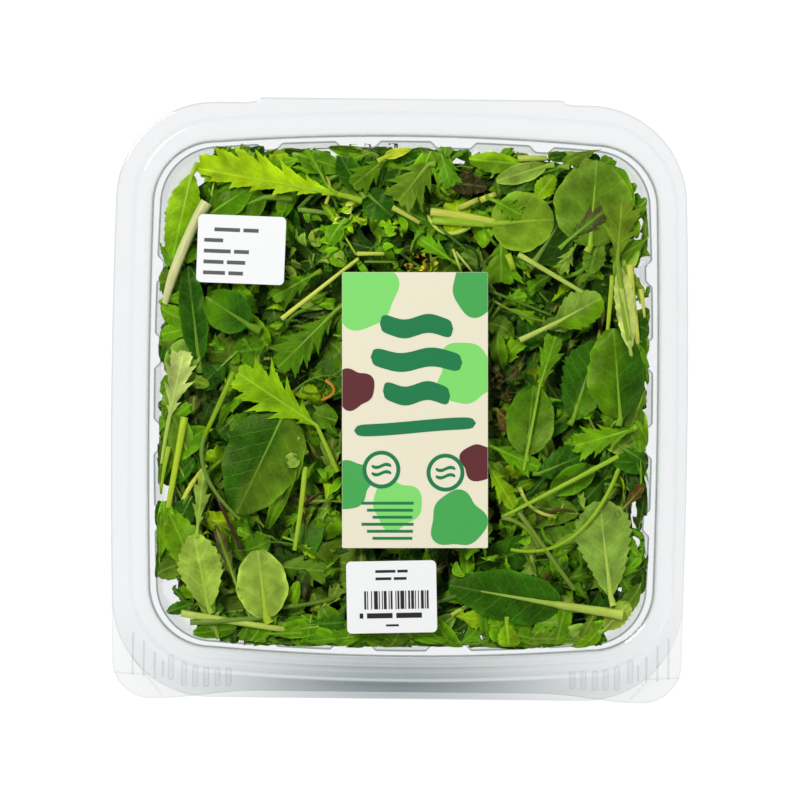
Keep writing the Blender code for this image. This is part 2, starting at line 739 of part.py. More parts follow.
def side_leaf(bm, out, place, height, angle, length, width, kind):
    """A leaf pressed against a wall: its foot is in the heap and its blade lies outside it."""
    level_way = Vector((-out.y, out.x, 0))
    along = level_way * math.cos(angle) + Vector((0, 0, 1)) * math.sin(angle)
    across = out.cross(along)
    middle = Vector((FORM_X, FORM_Y, height)) + level_way * place
    axis = 0 if abs(out.x) > 0.5 else 1
    stations = []
    for number in range(SIDE_STEPS + 1):
        share = number / SIDE_STEPS
        point = middle + along * (share - 0.5) * length
        point.z = min(max(point.z, SIDE_LOW), SIDE_HIGH)
        spread = HEAP_TOP_HALF[axis] - HEAP_FOOT_HALF[axis]
        surface = HEAP_FOOT_HALF[axis] + spread * point.z / HEAP_TOP
        bulge = math.sin(math.pi * (0.05 + 0.8 * share)) * SIDE_BULGE - SIDE_ROOT
        point += out * (surface + bulge)
        half = max(width / 2 * blade_width(kind, share, number), 0.5 * MM)
        stations.append((point, across * half, out, SIDE_EDGE_LIFT))
    strip(bm, stations, LEAF_THICKNESS)


def salad(paint):
    """The heap: a core with the leaves and stalks that show fused on."""
    chance = random.Random(HEAP_SEED)
    core = heap_core(paint)
    pieces = bpy.data.collections.new("pieces")
    bpy.context.scene.collection.children.link(pieces)
    for leaf in TOP_LEAVES:
        bm = bmesh.new()
        top_leaf(bm, *leaf, chance)
        new_object("leaf", bm, paint, pieces)
    for stalk in TOP_STALKS:
        bm = bmesh.new()
        top_stalk(bm, *stalk)
        new_object("stalk", bm, paint, pieces)
    for out in (Vector((1, 0, 0)), Vector((0, 1, 0)), Vector((-1, 0, 0)), Vector((0, -1, 0))):
        for number in range(SIDE_LEAVES):
            bm = bmesh.new()
            place = SIDE_RUN * ((number + 0.5) / SIDE_LEAVES - 0.5)
            place += chance.uniform(-SIDE_SCATTER, SIDE_SCATTER)
            height = chance.uniform(*SIDE_HEIGHTS)
            angle = chance.uniform(0, 2 * math.pi)
            length = chance.uniform(*SIDE_LENGTHS)
            width = chance.uniform(*SIDE_WIDTHS)
            kind = chance.choice(("tatsoi", "mizuna", "mustard"))
            side_leaf(bm, out, place, height, angle, length, width, kind)
            new_object("leaf", bm, paint, pieces)
    join_all(core, pieces, "MANIFOLD")
    return core


def label(name, spec, paint):
    """A paper label on the lid's panel."""
    bm = bmesh.new()
    width, length = spec["size"]
    radius = spec["radius"]
    turn = Matrix.Rotation(math.radians(spec["turn"]), 2)
    points = []
    for quarter, (side_x, side_y) in enumerate(((1, 1), (-1, 1), (-1, -1), (1, -1))):
        hub = Vector((side_x * (width / 2 - radius), side_y * (length / 2 - radius)))
        for step in range(LABEL_CORNER_STEPS + 1):
            angle = math.radians(90 * (quarter + step / LABEL_CORNER_STEPS))
            corner = hub + Vector((math.cos(angle), math.sin(angle))) * radius
            points.append(turn @ corner + Vector(spec["place"]))
    base = PANEL_BASE + SHEET + GAP
    lower = add_loop(bm, points, base)
    upper = add_loop(bm, points, base + LABEL_THICKNESS)
    wall(bm, lower, upper)
    bm.faces.new(lower)
    bm.faces.new(upper)
    return new_object(name, bm, paint)


def main():
    for old in list(bpy.data.objects):
        bpy.data.objects.remove(old)
    film = material("clear_sheet", (0.93, 0.95, 0.94), 0.08, alpha=0.3)
    leaves = material("leaves", (0.17, 0.36, 0.04), 0.45)
    cream = material("label_print", (0.78, 0.76, 0.62), 0.5)
    paper = material("label_paper", (0.92, 0.92, 0.92), 0.5)
    tub(film)
    salad(leaves)
    axis = bpy.data.objects.new("lid_axis", None)
    axis.location = (0.0, HINGE_Y, HINGE_Z)
    bpy.context.scene.collection.objects.link(axis)
    moving = (
        lid(film),
        label("label_main", LABEL_MAIN, cream),
        label("label_contents", LABEL_CONTENTS, paper),
        label("label_barcode", LABEL_BARCODE, paper),
    )
    for piece in moving:
        piece.parent = axis
        piece.matrix_parent_inverse = Matrix.Translation(-axis.location)


main()
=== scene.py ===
"""Looks of a shut clear box of salad leaves: film, leaves, labels, light and camera.

Lengths are in millimetres until a mesh is made, where MM turns them into metres.
"""
import math

import bpy
import numpy as np
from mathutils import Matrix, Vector


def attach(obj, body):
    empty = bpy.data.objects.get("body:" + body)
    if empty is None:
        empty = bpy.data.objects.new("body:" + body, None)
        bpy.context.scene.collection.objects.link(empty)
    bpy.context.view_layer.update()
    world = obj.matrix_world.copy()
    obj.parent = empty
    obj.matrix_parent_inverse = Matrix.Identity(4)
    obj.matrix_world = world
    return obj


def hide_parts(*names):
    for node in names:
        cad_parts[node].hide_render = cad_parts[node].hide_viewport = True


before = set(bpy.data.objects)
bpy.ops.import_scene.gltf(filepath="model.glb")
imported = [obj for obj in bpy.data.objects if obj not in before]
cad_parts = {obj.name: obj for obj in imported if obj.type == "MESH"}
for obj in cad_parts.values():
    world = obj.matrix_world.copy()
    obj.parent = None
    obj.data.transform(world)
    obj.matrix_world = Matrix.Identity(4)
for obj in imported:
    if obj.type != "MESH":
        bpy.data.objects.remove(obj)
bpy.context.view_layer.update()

MM = 0.001
SEED = 23
TABLE_Z = 0.0

# Heights of the box
HEIGHT = 78.0
TUB_RIM_TOP = 73.8
LID_FLANGE_BASE = 74.1
LEDGE_Z = 69.5
WALL_FOOT_Z = 7.0
FLOOR_TOP = 0.6
FLOOR_RISE = 1.2
PANEL_TOP = 75.5
FILM = 0.34

# Outlines seen from above: half width, half length, corner radius, bow of sides in x and y
FORM = (1.25, 1.05)
FLANGE_CENTRE = (0.0, -0.7)
FLANGE = (93.3, 97.3, 32.0, 0.9, 0.0)
RING_FOOT = (89.0, 90.4, 28.0, 0.8, 2.5)
WELL = (82.7, 82.8, 20.5, 0.8, 2.5)
RIM = (83.5, 83.6, 21.5, 0.8, 2.5)
WALL_TOP = (80.6, 81.4, 19.0, 1.4, 2.5)
WALL_FOOT = (74.8, 75.6, 17.0, 0.5, 1.6)
FOOT = (70.8, 71.6, 14.0, 0.4, 1.2)
FLOOR_EDGE = (64.0, 64.8, 12.0, 0.0, 0.0)

# Flutes in the tub's walls: place along the side and width
FLUTES_X = ((-41.0, 6.6), (-14.1, 9.5), (14.1, 9.5), (41.0, 6.6))
FLUTES_Y = ((-44.7, 6.0), (-15.7, 12.8), (15.7, 12.8), (44.7, 6.0))
FLUTE_RAMP = 3.2
FLUTE_TOP = 2.0
FLUTE_FOOT = 1.0

# The lid's front edge and ears
FRONT_Y = -95.7
EAR_Y = -98.55
EAR_X = 93.0
EAR_RADIUS = 12.5
EAR_CURVE = (46.0, 80.0)

# Pressed lines and round-ended ribs in the front corners: distance from the middle, back, front
RIB_LINES = ((87.8, -77.5, -91.0), (84.2, -80.1, -91.6), (80.6, -83.7, -92.0), (77.9, -86.6, -91.6))
RIB_LINE_WIDTH = 0.55
RIB_LOOPS = ((75.3, -92.8), (71.0, -94.9), (67.3, -95.0), (63.7, -95.0), (60.0, -94.8), (56.4, -94.6))
RIB_LOOP_WIDTH = 2.0
RIB_FILM = 0.2
# From a rib's foot to its top: share of the width, rise, and how dark, as painted shade of the bent sheet
RIB_PROFILE = ((1.0, 0.0, 0.08), (0.88, 0.22, 0.13), (0.68, 0.34, 0.01), (0.4, 0.36, 0.0))
# Creases in the sheet of the ears, mirrored to the other side
CREASES = (
    ((81.5, -91.0), (88.0, -90.7), (93.0, -90.4)),
    ((86.4, -85.6), (82.0, -91.5), (76.8, -97.6)),
)

# The living hinge
HINGE_X = 2.8
HINGE_HALF = 50.3
HINGE_Y = 98.7

# Labels: width, length, corner radius, place, turn in degrees
LABELS = {
    "label_main": ((47.8, 90.4), 0.5, (5.1, -3.5), 0.6),
    "label_contents": ((28.8, 22.3), 1.6, (-52.4, 48.5), -1.6),
    "label_barcode": ((29.5, 23.6), 1.6, (-1.9, -64.8), 1.6),
}
LABEL_BASE = 75.8
LABEL_TOP = 76.0
INK = 0.02


# Meshes

def new_mesh(name, points, faces, material, body, smooth=True, sharp=40):
    """A named piece from points in millimetres, riding on a body."""
    mesh = bpy.data.meshes.new(name)
    mesh.from_pydata((np.asarray(points, dtype=float) * MM).tolist(), [], faces)
    mesh.materials.append(material)
    mesh.validate()
    mesh.update()
    if smooth:
        mesh.shade_smooth()
        mesh.set_sharp_from_angle(angle=math.radians(sharp))
    piece = bpy.data.objects.new(name, mesh)
    bpy.context.scene.collection.objects.link(piece)
    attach(piece, body)
    return piece


def smoothstep(low, high, value):
    """0 below low, 1 above high, and a smooth rise between."""
    share = np.clip((value - low) / (high - low), 0.0, 1.0)
    return share * share * (3 - 2 * share)


# Outlines

def flute_inset(place, flutes, depth):
    """How far the wall is pressed in at a place along a side."""
    inset = np.zeros_like(place)
    for centre, width in flutes:
        reach = (width / 2 + FLUTE_RAMP / 2 - np.abs(place - centre)) / FLUTE_RAMP
        inset = np.maximum(inset, smoothstep(0.08, 0.92, reach) * depth)
    return inset


def outline(shape, side_steps=60, corner_steps=24, depth=0.0, grow=0.0, centre=FORM):
    """A rounded rectangle with bowed and fluted sides, anticlockwise, as an array of points."""
    half_x, half_y, radius, bow_x, bow_y = shape
    half_x += grow
    half_y += grow
    radius += grow
    points = []
    sides = (
        ((half_x, 0), (0, 1), (1, 0), half_y - radius, bow_x, FLUTES_X),
        ((0, half_y), (-1, 0), (0, 1), half_x - radius, bow_y, FLUTES_Y),
        ((-half_x, 0), (0, -1), (-1, 0), half_y - radius, bow_x, FLUTES_X),
        ((0, -half_y), (1, 0), (0, -1), half_x - radius, bow_y, FLUTES_Y),
    )
    for middle, along, out, run, bow, flutes in sides:
        middle = np.array(middle, dtype=float)
        along = np.array(along, dtype=float)
        out = np.array(out, dtype=float)
        share = np.linspace(-1, 1, side_steps + 1)
        swell = bow * (1 - share ** 2) - flute_inset(share * run, flutes, depth)
        points.append(middle + along * (share * run)[:, None] + out * swell[:, None])
        hub = middle + along * run - out * radius
        turn = np.linspace(0, math.pi / 2, corner_steps + 1)[1:-1]
        points.append(hub + out * (np.cos(turn) * radius)[:, None] + along * (np.sin(turn) * radius)[:, None])
    return np.concatenate(points) + np.array(centre)


def hinge_tab():
    """The hinge strip's outer edge, from right to left, with a small round loop at each end."""
    back = FLANGE_CENTRE[1] + FLANGE[1]
    fold = HINGE_Y - 0.5
    loop = 1.1
    points = [(HINGE_X + HINGE_HALF + 3.2, back)]
    for step in range(7):
        turn = math.radians(90 * step / 6)
        points.append((
            HINGE_X + HINGE_HALF - loop + loop * math.cos(turn),
            fold - loop + loop * math.sin(turn)))
    for step in range(7):
        turn = math.radians(90 + 90 * step / 6)
        points.append((
            HINGE_X - HINGE_HALF + loop + loop * math.cos(turn),
            fold - loop + loop * math.sin(turn)))
    points.append((HINGE_X - HINGE_HALF - 3.2, back))
    return np.array(points)


def with_hinge(points):
    """Put the hinge strip in place of the middle of the back edge."""
    tab = hinge_tab()
    back = FLANGE_CENTRE[1] + FLANGE[1]
    on_back = (np.abs(points[:, 1] - back) < 0.01) & (points[:, 0] < tab[0, 0]) & (points[:, 0] > tab[-1, 0])
    first = int(np.argmax(on_back))
    last = len(points) - int(np.argmax(on_back[::-1]))
    return np.concatenate([points[:first], tab, points[last:]])


def tub_edge():
    """The tub's flange outline."""
    return with_hinge(outline(FLANGE, centre=FLANGE_CENTRE))


def lid_edge():
    """The lid's flange outline, with its set-back front edge and two ears."""
    whole = outline(FLANGE, centre=FLANGE_CENTRE)
    behind = whole[whole[:, 1] > -45.0]
    starts = (behind[:, 0] > 0) & (behind[:, 1] < 0)
    right = behind[starts]
    right = right[np.argsort(right[:, 1])]
    ends = (behind[:, 0] < 0) & (behind[:, 1] < 0)
    left = behind[ends]
    left = left[np.argsort(-left[:, 1])]
    back = behind[~starts & ~ends]
    hub_x = EAR_X - EAR_RADIUS
    hub_y = EAR_Y + EAR_RADIUS
    turn = np.linspace(0, math.pi / 2, 17)
    left_ear = np.stack([-hub_x - EAR_RADIUS * np.cos(turn), hub_y - EAR_RADIUS * np.sin(turn)], axis=1)
    right_ear = np.stack([hub_x + EAR_RADIUS * np.sin(turn), hub_y - EAR_RADIUS * np.cos(turn)], axis=1)
    x = np.linspace(-EAR_CURVE[1], EAR_CURVE[1], 66)[1:-1]
    y = FRONT_Y + (EAR_Y - FRONT_Y) * smoothstep(EAR_CURVE[0], EAR_CURVE[1], np.abs(x))
    return with_hinge(np.concatenate([right, back, left, left_ear, np.stack([x, y], axis=1), right_ear]))


def cast(edge, ring, centre=FORM):
    """For each point of a ring, the point of the edge on the same ray from the centre."""
    hub = np.array(centre)
    start = edge - hub
    end = np.roll(edge, -1, axis=0) - hub
    found = np.empty_like(ring)
    for index, point in enumerate(ring - hub):
        side = start[:, 0] * point[1] - start[:, 1] * point[0]
        after = end[:, 0] * point[1] - end[:, 1] * point[0]
        ahead = (start @ point > 0) & (side * after <= 0)
        pick = np.flatnonzero(ahead)[0]
        share = side[pick] / (side[pick] - after[pick] + 1e-12)
        found[index] = hub + start[pick] + (end[pick] - start[pick]) * share
    return found


def front_painted_shade(points):
    """Painted shadow and reflection: how much greyer the sheet looks in the middle of the front than
    elsewhere, from 0 to 1.
    """
    return np.exp(-(np.abs(points[:, 0]) / 49.0) ** 1.9) * smoothstep(-60.0, -80.0, points[:, 1])


def film_piece(name, points, faces, film, body, sharp, shades, thickness):
    """A piece of clear sheet with its thickness; shades are painted shade, saying how dark it looks at each
    point.
    """
    made = new_mesh(name, points, faces, film, body, sharp=sharp)
    shade = made.data.attributes.new("shade", "FLOAT", "POINT")
    shade.data.foreach_set("value", np.asarray(shades, dtype=np.float32))
    solid = made.modifiers.new("thickness", "SOLIDIFY")
    solid.thickness = thickness * MM
    solid.offset = -1.0
    return made


class Sheet:
    """A clear sheet built ring by ring; each ring also carries painted shade, saying how dark its sheet
    looks.
    """

    def __init__(self, **steps):
        self.steps = steps
        self.rings = []
        self.shades = []

    def ring(self, shape, z, shade=0.0, **change):
        """Add a rounded rectangle at one height."""
        self.add(outline(shape, **change, **self.steps), z, shade)

    def add(self, points, z, shade=0.0):
        z = np.broadcast_to(z, len(points))
        self.rings.append(np.column_stack([points, z]))
        self.shades.append(np.broadcast_to(shade, len(points)).astype(float))

    def build(self, name, material, body, slot):
        """Join the rings, close the middle, and give the sheet its thickness."""
        count = len(self.rings[0])
        points = np.concatenate(self.rings)
        shades = np.concatenate(self.shades)
        faces = []
        for ring in range(len(self.rings) - 1):
            for index in range(count):
                after = (index + 1) % count
                low = ring * count
                high = low + count
                faces.append((low + index, high + index, high + after, low + after))
        last = (len(self.rings) - 1) * count
        faces.append(tuple(range(last, last + count)))
        return film_piece(name, points, faces, material, body, 30, shades, FILM)


# Materials

# The sheet's clear tint, and the grey it turns where painted shade darkens its bends, edges and front
FILM_CLEAR = (0.982, 0.985, 0.988, 1)
FILM_PAINTED_SHADE = (0.31, 0.37, 0.375, 1)
# Half widths of the veins in millimetres, and how they lighten the leaf's tone
SIDE_VEIN_HALF = 0.26
RIB_HALF = 0.55
VEIN_GAIN = (1.45, 1.35, 1.5)
VEIN_LIFT = (0.09, 0.12, 0.02)
LEAF_SHEEN = (0.85, 1.0, 0.3, 1)
CORE_SHADE_TONES = ((0.4, (0.010, 0.020, 0.002, 1)), (0.7, (0.04, 0.08, 0.006, 1)))


class Nodes:
    """A material's node tree."""

    def __init__(self, name):
        self.made = bpy.data.materials.new(name)
        self.made.use_nodes = True
        self.tree = self.made.node_tree
        for node in list(self.tree.nodes):
            self.tree.nodes.remove(node)

    def add(self, kind, inputs=None, **settings):
        """A node. Each input, by name or number, is a value or an output to link."""
        node = self.tree.nodes.new("ShaderNode" + kind)
        for key, value in settings.items():
            setattr(node, key, value)
        for key, value in (inputs or {}).items():
            if isinstance(value, bpy.types.NodeSocket):
                self.tree.links.new(value, node.inputs[key])
            else:
                node.inputs[key].default_value = value
        return node

    def attribute(self, name, output):
        return self.add("Attribute", attribute_name=name).outputs[output]

    def maths(self, operation, first, second=None, clamp=False):
        inputs = {0: first} if second is None else {0: first, 1: second}
        return self.add("Math", inputs, operation=operation, use_clamp=clamp).outputs[0]

    def noise(self, scale, detail, place=None):
        inputs = {"Scale": scale, "Detail": detail}
        if place is not None:
            inputs["Vector"] = place
        return self.add("TexNoise", inputs).outputs["Fac"]

    def remap(self, value, low, high, start=0.0, end=1.0):
        inputs = {"Value": value, "To Min": low, "To Max": high, "From Min": start, "From Max": end}
        return self.add("MapRange", inputs).outputs["Result"]

    def scale(self, colour, amount):
        return self.add("VectorMath", {0: colour, "Scale": amount}, operation="SCALE").outputs[0]

    def mix(self, share, first, second):
        inputs = {"Factor": share, "A": first, "B": second}
        return self.add("Mix", inputs, data_type="RGBA").outputs["Result"]

    def bump(self, height, strength, distance):
        inputs = {"Height": height, "Strength": strength, "Distance": distance * MM}
        return self.add("Bump", inputs).outputs[0]

    def finish(self, shader):
        self.add("OutputMaterial", {"Surface": shader})
        return self.made

    def surface(self, colour, roughness, specular=0.5, **more):
        """An opaque surface, with further inputs such as Normal."""
        inputs = {"Base Color": colour, "Roughness": roughness, "Specular IOR Level": specular}
        return self.finish(self.add("BsdfPrincipled", inputs | more).outputs[0])


def film_material():
    """Clear sheet: nearly invisible face on, shinier where seen edge on, and greyer there and wherever the
    shade attribute says, as painted shade.
    """
    nodes = Nodes("clear_film")
    facing = nodes.add("LayerWeight", {"Blend": 0.5}).outputs["Facing"]
    # Painted shade: greyer where seen edge on, and wherever the shade attribute says
    edge_shade = nodes.maths("MULTIPLY", nodes.maths("POWER", facing, 6.0), 0.04)
    grey = nodes.maths("ADD", edge_shade, nodes.attribute("shade", "Fac"), clamp=True)
    clear = nodes.add("BsdfTransparent", {"Color": nodes.mix(grey, FILM_CLEAR, FILM_PAINTED_SHADE)}).outputs[0]
    gloss = nodes.add("BsdfGlossy", {"Roughness": 0.06}).outputs[0]
    shine = nodes.maths("MINIMUM", nodes.add("Fresnel", {"IOR": 1.38}).outputs[0], 0.16)
    return nodes.finish(nodes.add("MixShader", {"Fac": shine, 1: clear, 2: gloss}).outputs[0])


def leaf_material(name, roughness, vein_gap, vein_strength):
    """A leaf: its own tone, darker and lighter patches, side veins and a fine bumpy skin."""
    nodes = Nodes(name)
    maths = nodes.maths
    place = nodes.attribute("place", "Vector")
    split = nodes.add("SeparateXYZ", {0: place})
    across = maths("ABSOLUTE", split.outputs[0])

    # Side veins leave the midrib at a slant, a few millimetres apart
    slant = maths("SUBTRACT", split.outputs[1], maths("MULTIPLY", across, 0.8))
    bent = maths("ADD", slant, maths("MULTIPLY", nodes.noise(0.35, 1.0, place), 2.4))
    wave = maths("FRACT", maths("DIVIDE", bent, vein_gap))
    off = maths("MULTIPLY", maths("ABSOLUTE", maths("SUBTRACT", wave, 0.5)), vein_gap)
    side_vein = maths("SUBTRACT", 1.0, maths("DIVIDE", off, SIDE_VEIN_HALF), clamp=True)
    rib = maths("SUBTRACT", 1.0, maths("DIVIDE", across, RIB_HALF), clamp=True)
    vein = maths("MAXIMUM", maths("MULTIPLY", side_vein, 0.75), rib)
    cells = nodes.add("TexVoronoi", {"Scale": 0.55, "Vector": place}, feature="DISTANCE_TO_EDGE")
    net = maths("SUBTRACT", 1.0, maths("MULTIPLY", cells.outputs["Distance"], 7.0), clamp=True)
    veins = maths("MAXIMUM", vein, maths("MULTIPLY", net, 0.22))

    patches = nodes.remap(nodes.noise(0.16, 3.0, place), 0.62, 1.36, 0.3, 0.7)
    patched = nodes.scale(nodes.attribute("tone", "Color"), patches)
    pale_inputs = {0: patched, 1: VEIN_GAIN, 2: VEIN_LIFT}
    pale = nodes.add("VectorMath", pale_inputs, operation="MULTIPLY_ADD").outputs[0]
    colour = nodes.mix(maths("MULTIPLY", veins, vein_strength), patched, pale)

    skin = nodes.noise(1.6, 2.0, place)
    height = maths("ADD", maths("MULTIPLY", veins, -0.6), maths("MULTIPLY", skin, 0.5))
    return nodes.surface(colour, nodes.remap(skin, roughness - 0.07, roughness + 0.1), 0.21,
                         **{"Normal": nodes.bump(height, 0.35, 0.35), "Specular Tint": LEAF_SHEEN})


def stalk_material():
    """Pale juicy stalks with fine lengthwise streaks."""
    nodes = Nodes("stalk")
    stretch = {"Vector": nodes.attribute("place", "Vector"), "Scale": (3.0, 0.12, 1.0)}
    streak = nodes.noise(1.3, 2.0, nodes.add("Mapping", stretch).outputs[0])
    colour = nodes.scale(nodes.attribute("tone", "Color"), nodes.remap(streak, 0.72, 1.22))
    return nodes.surface(colour, 0.38, 0.25, Normal=nodes.bump(streak, 0.3, 0.2))


def core_material():
    """The inside of the heap: near-black greens, painted shade for the deep gaps between the leaves."""
    nodes = Nodes("heap_core")
    ramp = nodes.add("ValToRGB", {0: nodes.noise(260.0, 4.0)})
    for element, (position, colour) in zip(ramp.color_ramp.elements, CORE_SHADE_TONES):
        element.position = position
        element.color = colour
    return nodes.surface(ramp.outputs[0], 0.8, 0.1)


def paper_material(name, colour):
    """Sticker paper: a light sheen over a faint fibre mottle."""
    nodes = Nodes(name)
    grain = nodes.noise(900.0, 3.0)
    mottled = nodes.scale(colour, nodes.remap(grain, 0.96, 1.03))
    return nodes.surface(mottled, 0.42, Normal=nodes.bump(grain, 0.08, 0.05))


# The clear box

def build_tub(film):
    """The lower half, from flange to floor."""
    sheet = Sheet(side_steps=200, corner_steps=24)
    rim = outline(RIM, grow=0.7, **sheet.steps)
    edge = cast(tub_edge(), rim)
    # Painted shade: a dark line at the flange's edge, and painted shadow and reflection over the middle of
    # the front
    grey = front_painted_shade(edge)
    sheet.add(edge, TUB_RIM_TOP - 0.5, 0.10 + 0.25 * grey)
    sheet.add(edge * 0.997 + rim * 0.003, TUB_RIM_TOP - 0.1, 0.05 + 0.35 * grey)
    for share, front_shade in ((0.04, 0.42), (0.2, 0.42), (0.4, 0.12), (0.6, 0.0), (0.85, 0.0)):
        sheet.add(edge * (1 - share) + rim * share, TUB_RIM_TOP, front_shade * grey)
    sheet.add(rim, TUB_RIM_TOP, 0.02)
    # In these rings the shade figure is painted shade: dark lines where the bent sheet is seen edge on
    for grow, z, shade in (
            (0.2, TUB_RIM_TOP - 0.2, 0.05), (0.0, TUB_RIM_TOP - 0.8, 0.06), (-0.35, LEDGE_Z + 0.8, 0.06),
            (-0.7, LEDGE_Z + 0.15, 0.04), (-1.2, LEDGE_Z, 0.0)):
        sheet.ring(RIM, z, shade, grow=grow)
    for grow, drop, shade, flute in (
            (0.4, 0.0, 0.0, 1.0), (0.2, 0.04, 0.0, 1.0), (0.08, 0.15, 0.75, 1.0), (-0.08, 0.6, 0.75, 1.0),
            (-0.2, 1.1, 0.06, 1.0), (-1.3, 3.0, 0.03, 0.95), (-1.45, 3.6, 0.12, 0.95)):
        sheet.ring(WALL_TOP, LEDGE_Z - drop, shade, grow=grow, depth=FLUTE_TOP * flute)
    wall_steps = 8
    top = np.array(WALL_TOP) + np.array([-1.5, -1.5, -1.5, 0, 0])
    for step in range(wall_steps + 1):
        share = step / wall_steps
        shape = tuple(top * (1 - share) + np.array(WALL_FOOT) * share)
        depth = FLUTE_TOP * (1 - share) + FLUTE_FOOT * share
        sheet.ring(shape, (LEDGE_Z - 4.2) * (1 - share) + WALL_FOOT_Z * share, depth=depth)
    for step in range(1, 6):
        turn = math.radians(90 * step / 6)
        share = 1 - math.cos(turn)
        shape = tuple(np.array(WALL_FOOT) * (1 - share) + np.array(FOOT) * share)
        z = WALL_FOOT_Z - (WALL_FOOT_Z - FLOOR_TOP) * math.sin(turn)
        sheet.ring(shape, z, 0.02, depth=FLUTE_FOOT * (1 - share))
    sheet.ring(FOOT, FLOOR_TOP, 0.03)
    for grow, rise, shade in (
            (0.0, 0.0, 0.02), (-0.5, 0.2, 0.05), (-1.2, FLOOR_RISE, 0.03), (-2.0, FLOOR_RISE, 0.0)):
        sheet.ring(FLOOR_EDGE, FLOOR_TOP + rise, shade, grow=grow)
    made = sheet.build("tub_film", film, "tub", "tub_film")
    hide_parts("tub")
    return made


def build_lid(film):
    """The upper half: flange with ears, raised ring and sunk panel."""
    sheet = Sheet(side_steps=90, corner_steps=36)
    foot = outline(RING_FOOT, grow=0.8, **sheet.steps)
    edge = cast(lid_edge(), foot)
    top = LID_FLANGE_BASE + 0.55
    # Painted shade: a dark line at the flange's edge, and painted shadow and reflection over the middle of
    # the front
    grey = front_painted_shade(foot)
    sheet.add(edge, top - 0.15, 0.12 + 0.3 * grey)
    sheet.add(edge * 0.997 + foot * 0.003, top - 0.02, 0.03 + 0.3 * grey)
    for share, front_shade in ((0.08, 0.36), (0.3, 0.46), (0.6, 0.62), (0.9, 0.70)):
        sheet.add(edge * (1 - share) + foot * share, top, front_shade * grey)
    sheet.add(foot, top, 0.42 * grey)
    # Each row: grow, rise, painted shade at the bend, and share of the front's painted shadow and reflection
    profile = (
        (0.3, 0.08, 0.03, 0.16),
        (0.0, 0.4, 0.02, 0.10),
        (-0.7, 2.2, 0.0, 0.44),
        (-1.0, 2.75, 0.02, 0.56),
        (-1.35, 3.2, 0.01, 0.50),
        (-2.0, 3.38, 0.0, 0.52),
    )
    for grow, rise, shade, front_shade in profile:
        sheet.ring(RING_FOOT, top + rise, shade + front_shade * grey, grow=grow)
    ring_top = HEIGHT - 0.05
    outer = outline(RING_FOOT, grow=-2.0, **sheet.steps)
    inner = outline(WELL, grow=0.8, **sheet.steps)
    for share, front_shade in ((0.12, 0.42), (0.3, 0.50), (0.42, 0.56), (0.5, 0.36), (0.65, 0.40), (0.8, 0.33)):
        sheet.add(outer * (1 - share) + inner * share, ring_top, front_shade * grey)
    # In these rings the shade figure is painted shade: dark lines where the bent sheet is seen edge on
    for grow, z, shade in (
            (0.8, ring_top - 0.01, 0.34 * grey), (0.36, ring_top - 0.03, 0.1 * grey),
            (0.2, ring_top - 0.12, 0.04), (0.08, ring_top - 0.4, 0.5), (-0.1, PANEL_TOP + 0.5, 0.5),
            (-0.22, PANEL_TOP + 0.1, 0.05), (-0.5, PANEL_TOP - 0.02, 0.0), (-6.0, PANEL_TOP - 0.05, 0.0)):
        sheet.ring(WELL, z, shade, grow=grow)
    made = sheet.build("lid_film", film, "lid", "lid_film")
    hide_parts("lid")
    return made


def ring_front(x):
    """How far forward the raised ring reaches at x."""
    half_x, half_y, radius, _, _ = RING_FOOT
    out = max(abs(x - FORM[0]) - (half_x - radius), 0.0)
    if out >= radius:
        return FORM[1] - (half_y - radius)
    return FORM[1] - (half_y - radius) - math.sqrt(radius * radius - out * out)


class Relief:
    """Small raised shapes pressed into the lid's flange, gathered in one mesh."""

    def __init__(self, base):
        self.base = base
        self.points = []
        self.faces = []
        self.shades = []

    def stack(self, rings):
        """Closed rings of equal count, each (points, rise, shade), joined and capped."""
        count = len(rings[0][0])
        for level, (ring, rise, shade) in enumerate(rings):
            start = len(self.points)
            self.points += [(x, y, self.base + rise) for x, y in ring]
            self.shades += [shade] * count
            if level:
                low = start - count
                for step in range(count):
                    after = (step + 1) % count
                    self.faces.append((low + step, low + after, start + after, start + step))
        self.faces.append(tuple(range(len(self.points) - count, len(self.points))))

    def loop(self, x, back, front, width):
        """A rib with round ends: its outline is painted darker as shade, its top is clear."""
        turn = np.linspace(0, 2 * math.pi, 28, endpoint=False)
        half = width / 2
        reach = (back - front) / 2 - half
        rings = []
        for shrink, rise, shade in RIB_PROFILE:
            ends = np.where(np.sin(turn) > 0, reach, -reach)
            ring = np.stack([x + half * shrink * np.cos(turn),
                             (back + front) / 2 + ends + half * shrink * np.sin(turn)], axis=1)
            rings.append((ring, rise, shade))
        self.stack(rings)

    def crease(self, route, width, shade):
        """A low pressed line along a route."""
        line = curve_points([np.array(p, dtype=float) for p in route], 12)
        along = np.gradient(line, axis=0)
        along /= np.linalg.norm(along, axis=1)[:, None]
        side = np.stack([-along[:, 1], along[:, 0]], axis=1) * width / 2
        outer = np.concatenate([line + side, (line - side)[::-1]])
        inner = np.concatenate([line + side * 0.3, (line - side * 0.3)[::-1]])
        self.stack([(outer, 0.0, shade), (inner, 0.07, shade)])


def build_ribs(film):
    """Long ribs, thin lines and creases in the lid's front corners."""
    relief = Relief(LID_FLANGE_BASE + 0.5)
    for side in (-1, 1):
        # Pressed lines and creases get a faint painted shade
        for out, back, front in RIB_LINES:
            relief.crease(((FORM[0] + side * out, back), (FORM[0] + side * out, front)), RIB_LINE_WIDTH, 0.08)
        for out, front in RIB_LOOPS:
            x = FORM[0] + side * out
            relief.loop(x, ring_front(x) + 0.9, front, RIB_LOOP_WIDTH)
        for route in CREASES:
            relief.crease([(side * x, y) for x, y in route], 0.5, 0.02)
    return film_piece("lid_ribs", relief.points, relief.faces, film, "lid", 50,
                      relief.shades, RIB_FILM)


# Leaves

